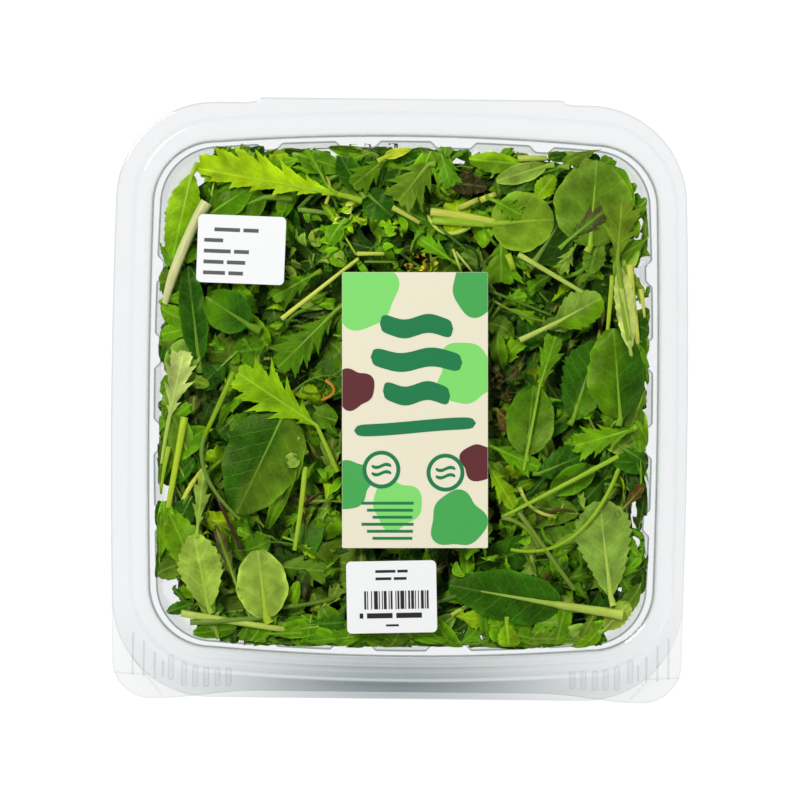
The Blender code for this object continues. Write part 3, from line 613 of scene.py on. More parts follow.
TONES = {
    "bright": (0.27, 0.53, 0.004),
    "lime": (0.25, 0.50, 0.003),
    "fresh": (0.125, 0.36, 0.003),
    "leaf": (0.080, 0.25, 0.003),
    "moss": (0.140, 0.300, 0.016),
    "olive": (0.100, 0.230, 0.012),
    "deep": (0.020, 0.115, 0.003),
    "dark": (0.012, 0.058, 0.004),
    "sage": (0.19, 0.36, 0.040),
    "silver": (0.28, 0.48, 0.065),
    "hazy": (0.52, 0.70, 0.20),
    "pale": (0.58, 0.78, 0.13),
    "shoot": (0.38, 0.64, 0.030),
    "milk": (0.74, 0.84, 0.42),
    "yellow": (0.50, 0.62, 0.03),
    "plum": (0.060, 0.026, 0.022),
    "brown": (0.085, 0.055, 0.012),
    "soil": (0.032, 0.019, 0.009),
    "amber": (0.50, 0.27, 0.015),
}


THICKNESS = 0.32
# How flat stalks are, how thin they end, and how far their ends dip
STALK_FLAT = 0.8
STALK_TAPER = 0.75
STALK_DIP = 1.5


class Batch:
    """Collects many leaves into the arrays of one mesh."""

    def __init__(self):
        self.points = []
        self.faces = []
        self.tones = []
        self.places = []
        self.count = 0

    def add(self, points, faces, tones, places):
        self.points.append(points)
        self.faces.append(faces + self.count)
        self.tones.append(tones)
        self.places.append(places)
        self.count += len(points)

    def build(self, name, material):
        points = np.concatenate(self.points)
        faces = np.concatenate(self.faces)
        made = new_mesh(name, points, faces.tolist(), material, "tub", sharp=55)
        tone = made.data.attributes.new("tone", "FLOAT_COLOR", "POINT")
        colour = np.concatenate(self.tones)
        colour = np.column_stack([colour, np.ones(len(colour))]).astype(np.float32)
        tone.data.foreach_set("color", colour.ravel())
        place = made.data.attributes.new("place", "FLOAT_VECTOR", "POINT")
        place.data.foreach_set("vector", np.concatenate(self.places).astype(np.float32).ravel())
        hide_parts("salad")
        return made


class Bed:
    """A surface that leaves are laid on, which remembers how high they have piled up."""

    def __init__(self, low, high, ground, limit, to_world, step=0.6):
        self.low = np.array(low, dtype=float)
        self.step = step
        self.shape = tuple(int((h - l) / step) + 2 for l, h in zip(low, high))
        axes = [start + step * np.arange(count) for start, count in zip(low, self.shape)]
        grid_a, grid_b = np.meshgrid(*axes, indexing="ij")
        self.height = ground(grid_a, grid_b)
        self.limit = limit
        self.to_world = to_world

    def cells(self, a, b):
        i = np.clip(((a - self.low[0]) / self.step).round().astype(int), 0, self.shape[0] - 1)
        j = np.clip(((b - self.low[1]) / self.step).round().astype(int), 0, self.shape[1] - 1)
        return i, j

    def at(self, a, b):
        return self.height[self.cells(a, b)]

    def cover(self, a, b, h):
        """Raise the pile under a grid of points."""
        for share_i in (0.0, 0.5):
            for share_j in (0.0, 0.5):
                parts = []
                for field in (a, b, h):
                    here = field[:-1] * (1 - share_i) + field[1:] * share_i
                    parts.append(here[:, :-1] * (1 - share_j) + here[:, 1:] * share_j)
                np.maximum.at(self.height, self.cells(parts[0], parts[1]), parts[2])


def settle(base, rounds=10):
    """A stiff sheet over bumps: never below them, and as smooth as that allows."""
    field = base.copy()
    for _ in range(rounds):
        padded = np.pad(field, 1, mode="edge")
        around = (padded[:-2, 1:-1] + padded[2:, 1:-1] + padded[1:-1, :-2] + padded[1:-1, 2:]) / 4
        field = np.maximum(base, around)
    return field


# Where along a blade it is widest, and how blunt its ends are
WIDEST = {"tatsoi": 0.47, "mustard": 0.5, "mizuna": 0.6}
BLUNT = {"tatsoi": 0.56, "mustard": 0.62, "mizuna": 0.75}


def blade_outline(kind, share, lobes, rng, peak=None, blunt=None):
    """Half widths of the left and right edges along a blade, as shares of its half width."""
    edges = []
    power = math.log(0.5) / math.log(peak or WIDEST[kind])
    form = np.sin(math.pi * (0.02 + 0.96 * share) ** power) ** (blunt or BLUNT[kind])
    for _ in range(2):
        phase = rng.uniform(0, 1)
        size = rng.uniform(0.72, 1.12, lobes + 3)
        if kind == "tatsoi":
            edge = form * (1 + 0.03 * np.sin(share * 17 + phase * 6) + 0.015 * np.sin(share * 41 + phase * 9))
        elif kind == "mustard":
            tooth = share * lobes * 2.2 + phase
            edge = form * (0.82 + 0.18 * (tooth % 1.0) ** 0.8)
            edge *= 1 + 0.06 * np.sin(share * 9 + phase * 6)
        else:
            place = share * lobes + phase
            lobe = place % 1.0
            tooth = (share * lobes * 3 + phase * 3) % 1.0
            depth = 0.66 - 0.14 * share
            lobed = depth * lobe ** 1.1 * size[place.astype(int)]
            edge = form * (1 - depth + lobed - 0.2 * (1 - tooth) * lobe)
        edges.append(np.maximum(edge, 0.02))
    return edges


def curve_points(points, count):
    """Evenly spaced points on the smooth curve through two or three points."""
    share = np.linspace(0, 1, count)[:, None]
    if len(points) == 2:
        return points[0] * (1 - share) + points[1] * share
    first, middle, last = points
    control = 2 * middle - (first + last) / 2
    return first * (1 - share) ** 2 + control * 2 * share * (1 - share) + last * share ** 2


def shell(points_top, points_base, rows, columns):
    """Quads of a thin closed solid over a grid of rows and columns."""
    index = np.arange(rows * columns).reshape(rows, columns)
    under = index + rows * columns
    top = np.stack([index[:-1, :-1], index[:-1, 1:], index[1:, 1:], index[1:, :-1]], axis=-1).reshape(-1, 4)
    base = np.stack([under[:-1, :-1], under[1:, :-1], under[1:, 1:], under[:-1, 1:]], axis=-1).reshape(-1, 4)
    around = np.concatenate([index[0, :], index[1:, -1], index[-1, -2::-1], index[-2:0:-1, 0]])
    after = np.roll(around, -1)
    side = np.stack([around, around + rows * columns, after + rows * columns, after], axis=-1)
    return np.concatenate([points_top, points_base]), np.concatenate([top, base, side])


def tube(path, radii, sides):
    """A closed tapering tube in bed coordinates, along a path of (a, b, h)."""
    count = len(path)
    along = np.gradient(path[:, :2], axis=0)
    along /= np.linalg.norm(along, axis=1)[:, None] + 1e-9
    across = np.stack([-along[:, 1], along[:, 0]], axis=1)
    turn = np.linspace(0, 2 * math.pi, sides, endpoint=False)
    points = np.empty((count, sides, 3))
    reach = np.cos(turn)[None, :, None] * radii[:, None, None]
    points[:, :, :2] = path[:, None, :2] + across[:, None, :] * reach
    points[:, :, 2] = path[:, None, 2] + np.sin(turn)[None, :] * radii[:, None] * STALK_FLAT
    index = np.arange(count * sides).reshape(count, sides)
    after = np.roll(index, -1, axis=1)
    faces = np.stack([index[:-1], after[:-1], after[1:], index[1:]], axis=-1).reshape(-1, 4)
    caps = []
    for row, flip in ((index[0], True), (index[-1], False)):
        ring = row[::-1] if flip else row
        for step in range(1, sides - 1, 2):
            caps.append((ring[0], ring[step], ring[step + 1], ring[min(step + 2, sides - 1)]))
    return points.reshape(-1, 3), faces, caps




def vary(tone, rng, spread=0.16):
    """A tone made a little lighter or darker, yellower or bluer."""
    colour = np.array(TONES[tone])
    gain = math.exp(rng.uniform(-spread, spread))
    warm = math.exp(rng.uniform(-0.12, 0.12))
    return colour * gain * np.array([warm * 0.98, 0.865, 0.74 / warm])


class Garden:
    """Grows leaves and stalks and sorts them into one batch for each kind."""

    def __init__(self, rng):
        self.rng = rng
        self.batches = {}
        self.group = "top"

    def batch(self, kind):
        """The batch for a kind in the group now growing."""
        return self.batches.setdefault((self.group, kind), Batch())

    def leaf(self, bed, kind, root, foot, tip, width, tone, height=None, cap=None,
             cup=0.0, tilt=(0.0, 0.0), ripple=0.5, fine=True, rough=False, flat=False, bend=0.0,
             red=None, deep=None, fade=None, rib=True, peak=None, blunt=None, lean=0.0,
             left_tone=None, stem=None, slim=1.0):
        """Lay one leaf on a bed. Its level is at least height, and at most cap.

        Form: cup, tilt, ripple, bend and lean; peak and blunt change the outline. Mesh: fine,
        rough or flat. Colour: red at the edges, deep shade low down, fade towards the tip,
        left_tone beside the midrib. Midrib: rib, stem (its tone) and slim.
        """
        rng = self.rng
        root, foot, tip = (np.array(p, dtype=float) for p in (root, foot, tip))
        length = float(np.linalg.norm(tip - foot))
        half = width / 2
        if kind == "mizuna":
            lobes = int(np.clip(length / 5.2, 3, 7))
            rows = (lobes * 12 + 6) if fine else (lobes * (4 if rough else 5) + 4)
        elif kind == "mustard":
            lobes = int(np.clip(length / 6.0, 3, 6))
            rows = 34 if fine else (14 if rough else 18)
        else:
            lobes = 1
            rows = 26 if fine else (10 if rough else 13)
        columns = (11 if kind == "tatsoi" else 9) if fine else (3 if flat else 5)
        share = np.linspace(0, 1, rows)
        if kind == "tatsoi":
            share = (1 - np.cos(math.pi * share)) / 2
        direction = (tip - foot) / max(length, 1e-6)
        normal = np.array([-direction[1], direction[0]])
        spine = foot + (tip - foot) * share[:, None] + normal * (np.sin(math.pi * share) * bend)[:, None]
        left, right = blade_outline(kind, share, lobes, rng, peak, blunt)
        left = left * (1 + lean)
        right = right * (1 - lean)
        u = np.linspace(-1, 1, columns)
        widths = np.where(u[None, :] < 0, left[:, None], right[:, None]) * half
        sweep = 0.0 if kind == "tatsoi" else (0.6 if kind == "mizuna" else 0.2)
        ahead = np.abs(u)[None, :] * widths * sweep
        a = spine[:, None, 0] + normal[0] * u[None, :] * widths + direction[0] * ahead
        b = spine[:, None, 1] + normal[1] * u[None, :] * widths + direction[1] * ahead
        rest = settle(bed.at(a, b))
        if height is not None:
            rest = np.maximum(rest, height)
        across = u[None, :] * widths
        along = share[:, None] * length
        phase = rng.uniform(0, 6.28, 3)
        wave = np.sin(along * 0.42 + phase[0]) * np.abs(u)[None, :] ** 2
        wave += 0.5 * np.sin(along * 0.9 + phase[1] + across * 0.3) * np.abs(u)[None, :]
        quilt = np.sin((along - np.abs(across) * 0.62) * 2 * math.pi / 4.2 + phase[2])
        quilt *= 0.09 * np.abs(u)[None, :]
        form = ripple * wave + quilt + cup * u[None, :] ** 2
        form += tilt[0] * across + tilt[1] * (along - length / 2)
        form -= form.min() * 0.6
        form -= 0.9 * smoothstep(0.8, 1.0, share)[:, None] + 0.5 * smoothstep(0.2, 0.0, share)[:, None]
        h = rest + 0.18 + form + THICKNESS
        top = bed.limit if cap is None else min(cap, bed.limit)
        over = h - (top - 0.6)
        h = np.where(over > 0, top - 0.6 + 0.6 * np.tanh(over / 0.6 * 0.8), h)
        bed.cover(a, b, h)
        colour = vary(tone, rng)
        shades = np.ones((rows, columns, 1)) * colour
        sides = rng.uniform(-0.16, 0.16) * u[None, :, None]
        shades *= 1 + 0.22 * (np.abs(u)[None, :, None] ** 2 - 0.4) + sides
        if left_tone is not None:
            turn = smoothstep(0.12, -0.25, u + 0.25 * np.sin(along / length * 5 + phase[2]))[:, :, None]
            shades = shades * (1 - turn) + vary(left_tone, rng, 0.05) * turn
        # Painted highlight: the outermost edge of a tatsoi leaf is lightened
        if kind == "tatsoi":
            shades = shades * (1 + 0.5 * (np.abs(u) > 0.99))[None, :, None]
        if fade is not None:
            turn = smoothstep(0.1, 0.8, share[:, None] * 0.8 + 0.2 * u[None, :])[:, :, None]
            shades = shades * (1 - turn) + vary(fade, rng, 0.05) * turn
        # Painted shade: leaves lying lower are made darker
        if deep is not None:
            shades *= (0.45 + 0.55 * smoothstep(deep[0], deep[1], h))[:, :, None]
        if red is not None:
            blush = smoothstep(0.15, 0.8, np.abs(u)[None, :] * 0.7 + 0.5 * share[:, None])[:, :, None]
            shades = shades * (1 - blush * red) + np.array(TONES["plum"]) * blush * red
        run = np.broadcast_to(along + phase[0] * 20, across.shape)
        local = np.stack([across, run, np.full_like(across, phase[1] * 10)], axis=-1).reshape(-1, 3)
        grid_top = np.stack([a, b, h], axis=-1).reshape(-1, 3)
        grid_base = np.stack([a, b, h - THICKNESS], axis=-1).reshape(-1, 3)
        points, faces = shell(grid_top, grid_base, rows, columns)
        tones = np.concatenate([shades.reshape(-1, 3), shades.reshape(-1, 3) * 1.15])
        self.batch(kind).add(bed.to_world(points), faces, tones, np.concatenate([local, local]))
        middle = h[:, columns // 2]
        if rib:
            self.midrib(bed, root, foot, spine, middle, half, kind, colour, fine, stem, slim)

    def midrib(self, bed, root, foot, spine, middle, half, kind, colour, fine, stem_tone=None, slim=1.0):
        """The stalk up to the blade, and the rib that it becomes."""
        rng = self.rng
        stalk_radius = min(0.5 + half * 0.085, 1.4) if kind == "tatsoi" else min(0.42 + half * 0.045, 0.95)
        stalk_radius *= slim if fine else 0.6
        reach = float(np.linalg.norm(foot - root))
        keep = int(len(spine) * 0.72)
        rib = spine[:keep:2]
        rib_height = middle[:keep:2] - THICKNESS * 0.45
        if reach > 1.0:
            count = max(int(reach / 2.5), 3)
            share = np.linspace(0, 1, count + 1)[:-1]
            stem = root + (foot - root) * share[:, None]
            ground = bed.at(stem[:, 0], stem[:, 1])
            level = np.maximum(rib_height[0] - (1 - share) ** 2 * 1.2, ground + stalk_radius * 0.6)
            level = np.minimum(level, bed.limit - stalk_radius)
            path = np.concatenate([np.column_stack([stem, level]), np.column_stack([rib, rib_height])])
            ends = (1.35 - 0.35 * share, np.linspace(1, 0.22, len(rib)))
            radii = np.concatenate(ends) * stalk_radius
        else:
            path = np.column_stack([rib, rib_height])
            radii = np.linspace(1, 0.22, len(rib)) * stalk_radius
        pale = np.array(TONES["shoot"]) * (0.95 if kind == "tatsoi" else 1.0)
        tint = colour * 0.55 + pale * 0.5 * math.exp(rng.uniform(-0.2, 0.2))
        if stem_tone is not None:
            tint = vary(stem_tone, rng, 0.08)
        fade = np.linspace(0, 1, len(path))[:, None]
        self.add_tube(bed, path, radii, tint * (1 - fade * 0.4) + colour * fade * 0.6, 8 if fine else 5)

    def add_tube(self, bed, path, radii, tint, sides):
        """Add a tapering tube with a colour for each ring."""
        path[:, 2] = np.minimum(path[:, 2], bed.limit + THICKNESS - radii * STALK_FLAT)
        points, faces, caps = tube(path, radii, sides)
        tones = np.repeat(np.broadcast_to(tint, (len(path), 3)), sides, axis=0)
        length = np.concatenate([[0], np.cumsum(np.linalg.norm(np.diff(path, axis=0), axis=1))])
        turn = np.tile(np.linspace(0, 3, sides), len(path))
        start = np.full(len(points), self.rng.uniform(0, 50))
        places = np.column_stack([turn, np.repeat(length, sides), start])
        faces = np.concatenate([faces, np.array(caps)])
        self.batch("stalk").add(bed.to_world(points), faces, tones, places)

    def stalk(self, bed, route, width, tone, height=None, cap=None, fine=True):
        """A bare stalk lying on a bed along a curve through its route's points."""
        rng = self.rng
        route = [np.array(p, dtype=float) for p in route]
        reach = sum(np.linalg.norm(b - a) for a, b in zip(route, route[1:]))
        count = max(int(reach / (1.6 if fine else 3.2)), 5)
        line = curve_points(route, count)
        ground = bed.at(line[:, 0], line[:, 1])
        rest = settle(np.repeat(ground[:, None], 2, axis=1), 14)[:, 0]
        if height is not None:
            rest = np.maximum(rest, height)
        radii = np.linspace(1.0, STALK_TAPER, count) * width / 2
        share = np.linspace(0, 1, count)
        dip = STALK_DIP * (smoothstep(0.14, 0.0, share) + smoothstep(0.86, 1.0, share))
        sway = rng.uniform(-0.2, 0.3) * np.sin(share * 5 + rng.uniform(0, 6))
        h = rest + radii * STALK_FLAT + 0.1 + sway - dip
        top = (bed.limit if cap is None else min(cap, bed.limit)) - radii * STALK_FLAT
        h = np.minimum(h, top)
        for offset in (-0.5, 0.0, 0.5):
            cells = bed.cells(line[:, 0] + offset, line[:, 1] + offset)
            np.maximum.at(bed.height, cells, h + radii * STALK_FLAT)
        self.add_tube(bed, np.column_stack([line, h]), radii, vary(tone, rng), 8 if fine else 6)


def keep_in(points):
    """Draw points in to the tub's inside: under the lid's panel they may reach over the ledge."""
    over = smoothstep(69.2, 70.8, points[:, 2])
    share = np.clip((points[:, 2] - WALL_FOOT_Z) / (LEDGE_Z - WALL_FOOT_Z), 0.0, 1.0)
    half_x = (WALL_FOOT[0] + 3.6 * share - 1.8) * (1 - over) + 81.8 * over
    half_y = (WALL_FOOT[1] + 3.6 * share - 1.8) * (1 - over) + 83.2 * over
    radius = 18.0
    soft = 5.0
    local = points[:, :2] - np.array(FORM)
    beyond = np.maximum(np.abs(local) - np.stack([half_x, half_y], axis=1) + radius, 0.0)
    length = np.linalg.norm(beyond, axis=1)
    excess = np.maximum(length - radius + soft, 0.0)
    pull = excess - soft * (1 - np.exp(-excess / soft))
    inward = beyond / np.maximum(length, 1e-6)[:, None] * np.sign(local)
    kept = points.copy()
    kept[:, :2] -= inward * pull[:, None]
    return kept


def heap_ground(grid_a, grid_b):
    """The uneven dark floor of the top pile."""
    bump = np.sin(grid_a * 0.11 + 1.3) * np.cos(grid_b * 0.13 - 0.4)
    bump += 0.6 * np.sin(grid_a * 0.23 - grid_b * 0.19)
    edge = np.maximum(np.abs(grid_a - FORM[0]) / 78.0, np.abs(grid_b - FORM[1]) / 80.0)
    return 65.2 + bump * 1.1 - 4.0 * smoothstep(0.9, 1.0, edge)


def wall_shape(z):
    """Half sizes and radius of the wall's inner face, clear of the flutes, at heights z."""
    share = np.clip((z - WALL_FOOT_Z) / (LEDGE_Z - WALL_FOOT_Z), 0.0, 1.0)
    half_x = WALL_FOOT[0] + (WALL_TOP[0] - 1.5 - WALL_FOOT[0]) * share - FLUTE_TOP
    half_y = WALL_FOOT[1] + (WALL_TOP[1] - 1.5 - WALL_FOOT[1]) * share - FLUTE_TOP
    low = np.clip((7.5 - z) / 7.5, 0, 1)
    return half_x - 4 * low ** 2, half_y - 4 * low ** 2, 20.0


SIDE_DEPTH = 6.0
RUN_X = 52.0
RUN_Y = 53.5
ARC = 22.0


def wrap(points):
    """From (place round the box, height, distance out from the core) to the world."""
    s, z, h = points[:, 0], points[:, 1], points[:, 2]
    half_x, half_y, radius = wall_shape(z)
    grow = h - SIDE_DEPTH - 0.4
    half_x = half_x + grow
    half_y = half_y + grow
    radius = radius + grow
    quarter = (2 * RUN_Y + ARC, 2 * RUN_X + ARC)
    total = 2 * sum(quarter)
    s = np.mod(s, total)
    out = np.zeros((len(points), 3))
    start = 0.0
    for normal, run in (((1, 0), RUN_Y), ((0, 1), RUN_X), ((-1, 0), RUN_Y), ((0, -1), RUN_X)):
        normal = np.array(normal, dtype=float)
        along = np.array((-normal[1], normal[0]))
        here = (s >= start) & (s < start + 2 * run + ARC)
        local = s[here] - start
        reach = np.where(normal[0] != 0, half_x[here], half_y[here])
        side = np.where(normal[0] != 0, half_y[here], half_x[here]) - radius[here]
        share = np.clip(local / (2 * run), 0, 1) * 2 - 1
        turn = np.clip((local - 2 * run) / ARC, 0, 1) * math.pi / 2
        flat = normal * (reach - radius[here])[:, None] + along * (side * share)[:, None]
        arc = radius[here][:, None]
        spin = normal * np.cos(turn)[:, None] * arc + along * np.sin(turn)[:, None] * arc
        out[here, :2] = flat + spin + np.array(FORM)
        start += 2 * run + ARC
    out[:, 2] = z
    return out


def side_ground(grid_a, grid_b):
    ripple = 0.5 * np.sin(grid_a * 0.17) * np.cos(grid_b * 0.21)
    return 0.6 + ripple + 0.4 * np.sin(grid_a * 0.07 + grid_b * 0.15)


def under_ground(grid_a, grid_b):
    return 0.3 + 0.3 * np.sin(grid_a * 0.17) * np.cos(grid_b * 0.21)


UNDER_Z = 6.4


def turn_under(points):
    """From (x, y, distance down from the core's underside) to the world."""
    return np.column_stack([points[:, 0], points[:, 1], UNDER_Z - points[:, 2]])


# Leaves that show on top: kind, root, foot of the blade, tip, width, level, tone
TOP_LEAVES = (
    ("tatsoi", (-36, 66), (-45, 66), (-59, 60), 11, 0, "leaf"),
    ("mizuna", (-40, 74), (-45, 74), (-66, 73), 9, 2, "lime"),
    ("mizuna", (-13, 65), (-18, 66.5), (-67, 75), 19, 3, "bright", dict(lean=0.42, peak=0.64, stem="shoot")),
    ("mustard", (-67, 77), (-69, 73), (-75, 45.5), 13, 1, "lime", dict(cup=-0.8, fade="fresh")),
    ("tatsoi", (-66, 8), (-66, 12), (-70, 43), 9, 0, "deep"),
    ("tatsoi", (-46, 22), (-50, 24), (-64, 33), 14, 1, "deep", dict(cup=2.4, fade="leaf")),
    ("mizuna", (-20, 66), (-24.5, 70), (-32, 83), 4, 3, "fresh"),
    ("tatsoi", (-12, 66), (-14, 69), (-20.5, 80), 8, 1, "deep"),
    ("mizuna", (-3, 80), (-5, 79), (-16, 70), 12, 2, "leaf"),
    ("mizuna", (11, 77.5), (8.7, 77.2), (-1, 65), 18, 2, "olive", dict(peak=0.45, blunt=0.5)),
    ("tatsoi", (-8, 78), (-5.5, 79.5), (3, 84), 4.5, 3, "yellow"),
    ("tatsoi", (-14, 69), (-12, 68), (-3, 60), 10, 0, "deep"),
    ("tatsoi", (-18, 59), (-20, 57), (-24, 51), 6, 2, "fresh"),
    ("mizuna", (12, 84), (12.5, 82), (16, 70), 11, 2, "leaf"),
    ("mustard", (42, 77), (39, 77.5), (22, 79), 8, 2, "fresh", dict(left_tone="lime")),
    ("tatsoi", (55, 77), (52, 77), (32, 69), 8, 0, "deep"),
    ("tatsoi", (50, 77.5), (47, 77), (31, 72), 6.5, 2, "silver"),
    ("mustard", (12, 72), (14, 71.5), (28, 70), 7, 1, "soil"),
    ("mizuna", (27, 67), (29.5, 66), (39, 61), 9, 3, "fresh"),
    ("tatsoi", (42, 44), (44, 46), (53, 60), 17, 1, "dark"),
    ("tatsoi", (10.5, 60.5), (29.8, 58), (50, 59.5), 20, 2, "moss", dict(stem="shoot", blunt=0.5)),
    ("mizuna", (20, 44), (17, 45.5), (6, 53), 8, 1, "fresh"),
    ("mizuna", (33, 56), (33, 53), (33, 39), 19, 0, "leaf"),
    ("mustard", (43, 64), (44, 66), (50, 74), 7, 1, "lime"),
    ("tatsoi", (61, 52), (62, 55), (71, 77), 20, 1, "fresh"),
    ("tatsoi", (61, 49), (62, 51), (64, 79), 26, 2, "moss", dict(cup=-1.6, stem="shoot", slim=0.7)),
    ("mizuna", (52, 50), (54, 52), (67, 63), 9, 3, "plum"),
    ("mizuna", (75, 20), (71, 46), (72.3, 66), 17, 3, "moss"),
    ("mizuna", (58, 53), (57, 51), (52, 42), 7, 1, "sage"),
    ("mustard", (66, 56), (65, 54), (62, 42), 8, 1, "olive"),
    ("mustard", (39.3, 19.8), (51, 25.5), (66, 34), 13, 2, "sage", dict(left_tone="fresh", stem="pale")),
    ("mustard", (56, -8), (57, -6), (65, 19.5), 18, 1, "deep", dict(left_tone="leaf")),
    ("tatsoi", (72, -8), (72.5, -5.5), (70, 24), 20, 2, "leaf", dict(cup=-2.2, left_tone="deep", slim=0.6)),
    ("mizuna", (41, -23), (46, 5), (51, 21), 11, 3, "leaf", dict(stem="shoot", slim=0.6)),
    ("tatsoi", (42, -20), (42, -17.5), (44, 5), 16, 1, "olive", dict(cup=1.8, fade="leaf", slim=0.6)),
    ("mizuna", (78, -8), (77, -9), (57, -15), 14, 2, "fresh"),
    ("mizuna", (27, -19), (29, -21), (38, -35), 10, 2, "lime"),
    ("mustard", (71, -67), (70, -64), (66, -33), 20, 2, "silver", dict(peak=0.6, stem="pale")),
    ("tatsoi", (74, -70), (53, -67), (17, -61), 17, 2, "deep", dict(stem="pale", peak=0.42)),
    ("mustard", (36, -71), (36, -73.5), (37, -84), 8, 3, "lime"),
    ("mizuna", (-17, 32), (-21, 29), (-40, 10), 17, 1, "leaf"),
    ("mizuna", (-20, -24), (-27, -9), (-53, 8), 21, 3, "lime", dict(stem="shoot", slim=0.75)),
    ("mizuna", (-78.6, -22), (-75.5, -7), (-71, 15), 13, 2, "hazy"),
    ("tatsoi", (-36, -3), (-38, -5.5), (-53, -38), 26, 2, "olive",
     dict(cup=-1.4, left_tone="deep", peak=0.4, blunt=0.62, slim=0.45)),
    ("mustard", (-65, -61), (-66, -58), (-75, -38.5), 13, 1, "fresh"),
    ("mustard", (-61, -71), (-62, -69), (-67, -45), 15, 2, "silver"),
    ("tatsoi", (-42, -74), (-43, -72), (-46, -50), 17, 3, "silver", dict(stem="shoot")),
    ("mizuna", (-51, -66), (-52, -64), (-60, -42), 6, 3, "plum"),
    ("tatsoi", (-33, -18), (-34, -21), (-43, -43), 5, 1, "leaf", dict(cup=1.6, stem="silver")),
    ("mizuna", (-66, -46), (-66, -44), (-64, -24), 7, 1, "silver"),
    ("mustard", (76, 14), (75.5, 17), (72, 44), 7, 2, "hazy"),
    ("mizuna", (71, -37), (73, -36), (81, -27), 6, 2, "brown"),
    ("tatsoi", (-30, -17), (-33, -19), (-37, -22), 5, 2, "silver", dict(cup=1.2)),
    ("mizuna", (-26, 42), (-28, 41), (-42, 33), 12, 1, "leaf"),
    ("mustard", (30, -3), (32, -3), (42, -13), 7, 0, "brown"),
    ("mustard", (44, -24), (46, -24), (62, -17), 11, 0, "deep"),
    ("tatsoi", (66, -22), (64, -22), (50, -30), 9, 0, "leaf"),
    ("mizuna", (28, -14), (30, -15), (46, -22), 11, 0, "fresh"),
    ("tatsoi", (-66, 58), (-63, 60), (-50, 69), 10, 0, "leaf"),
    ("mizuna", (80, -28), (80, -26), (79, -12), 8, 0, "leaf"),
    ("mizuna", (70, -12), (73, -15), (83, -21), 8, 0, "deep"),
    ("mizuna", (-79, -32), (-79.5, -29), (-80, -14), 8, 0, "olive"),
    ("mustard", (-79, -56), (-79.5, -53), (-79, -38), 8, 0, "fresh"),
    ("mustard", (66, -76), (68, -75), (76, -66), 8, 0, "silver"),
    ("tatsoi", (-36, 80), (-34, 80), (-20, 75.5), 8, 0, "leaf"),
    ("mizuna", (-24, 72), (-22, 73), (-6, 78), 8, 0, "deep"),
)

# Bare stalks that show on top: route, width, level, tone
TOP_STALKS = (
    (((-64, 64), (-71, 50), (-78, 30.5)), 4.0, 3, "milk"),
    (((-39, 26), (-14, 46)), 1.5, 3, "pale"),
    (((-34, 62), (-25, 61)), 1.7, 2, "sage"),
    (((-34, 62), (-28.6, 67.7)), 1.5, 2, "olive"),
    (((-3, 63), (6, 58)), 1.8, 2, "pale"),
    (((38, 79.5), (47.5, 79.8)), 2.3, 3, "pale"),
    (((18.7, 62.8), (25.3, 66)), 2.1, 2, "pale"),
    (((25.8, 65.6), (31, 67.8)), 2.1, 2, "pale"),
    (((38.5, 48), (60, 35.5)), 1.8, 3, "pale"),
    (((75, 45), (78, 19)), 2.2, 1, "pale"),
    (((79, 37), (81, 27)), 2.0, 2, "pale"),
    (((72, -18), (34, -38.5)), 1.6, 3, "shoot"),
    (((34, -38.5), (42, -42), (47, -50)), 1.5, 3, "sage"),
    (((39, -36), (58, -62)), 1.8, 3, "sage"),
    (((-70.5, -6.6), (-75.6, -36.5)), 2.4, 3, "shoot"),
    (((-75.6, -16.3), (-79, -31.2)), 2.0, 2, "shoot"),
    (((-54.5, 8.3), (-59.5, -3), (-64, -13)), 1.9, 3, "lime"),
    (((-64, -13), (-63, -26), (-52, -40)), 1.5, 3, "sage"),
    (((-24.4, 6.0), (-21.4, 2.4), (-25.7, -0.6)), 1.2, 3, "amber"),
    (((-29, 83), (-16, 84.5)), 0.7, 3, "brown"),
    (((-24, 85), (-12, 82)), 0.6, 3, "brown"),
    (((-14, 84), (-3, 82.5)), 0.8, 3, "dark"),
    (((6, 84.6), (12, 82)), 0.6, 3, "brown"),
    (((12, 57), (24.5, 46.6)), 0.9, 3, "olive"),
    (((17, 49.5), (20, 41.6)), 1.0, 3, "pale"),
    (((18, 48.5), (23.5, 42)), 1.0, 3, "pale"),
    (((35, 48), (37, 43)), 2.3, 3, "shoot"),
    (((-14.5, 47.6), (-5.5, 47.7)), 1.5, 3, "pale"),
    (((-12, 45), (-1, 45)), 0.9, 3, "sage"),
    (((-71, -71), (-37, -76)), 2.4, 2, "pale"),
    (((-68, -74), (-40, -72)), 2.0, 2, "sage"),
    (((-30.7, -22.5), (-32, -36), (-34, -50)), 1.9, 2, "shoot"),
    (((-33.2, -11.7), (-32.9, -16.6)), 1.6, 2, "shoot"),
    (((-59.8, -32), (-51.4, -50)), 1.3, 3, "plum"),
    (((73, -20), (58, -44), (37, -49)), 1.4, 3, "bright"),
    (((69.5, 41.4), (68.1, 23.4)), 1.7, 2, "shoot"),
    (((71.8, 39.9), (75.6, 20.2)), 1.8, 3, "pale"),
    (((9.5, 61.6), (20, 60.4), (31, 58.4)), 2.8, 3, "pale"),
    (((10, 58.8), (20, 58), (29, 57.6)), 2.4, 2, "shoot"),
    (((29, 36), (50, 28)), 1.0, 2, "olive"),
    (((30, 33), (40, 28), (49, 26)), 0.9, 2, "sage"),
    (((-57, -82.2), (-54.5, -79.6)), 1.6, 3, "leaf"),
)
LEAF_LEVEL = 71.5
LEVEL_STEP = 0.8
TOP_LIMIT = 74.7

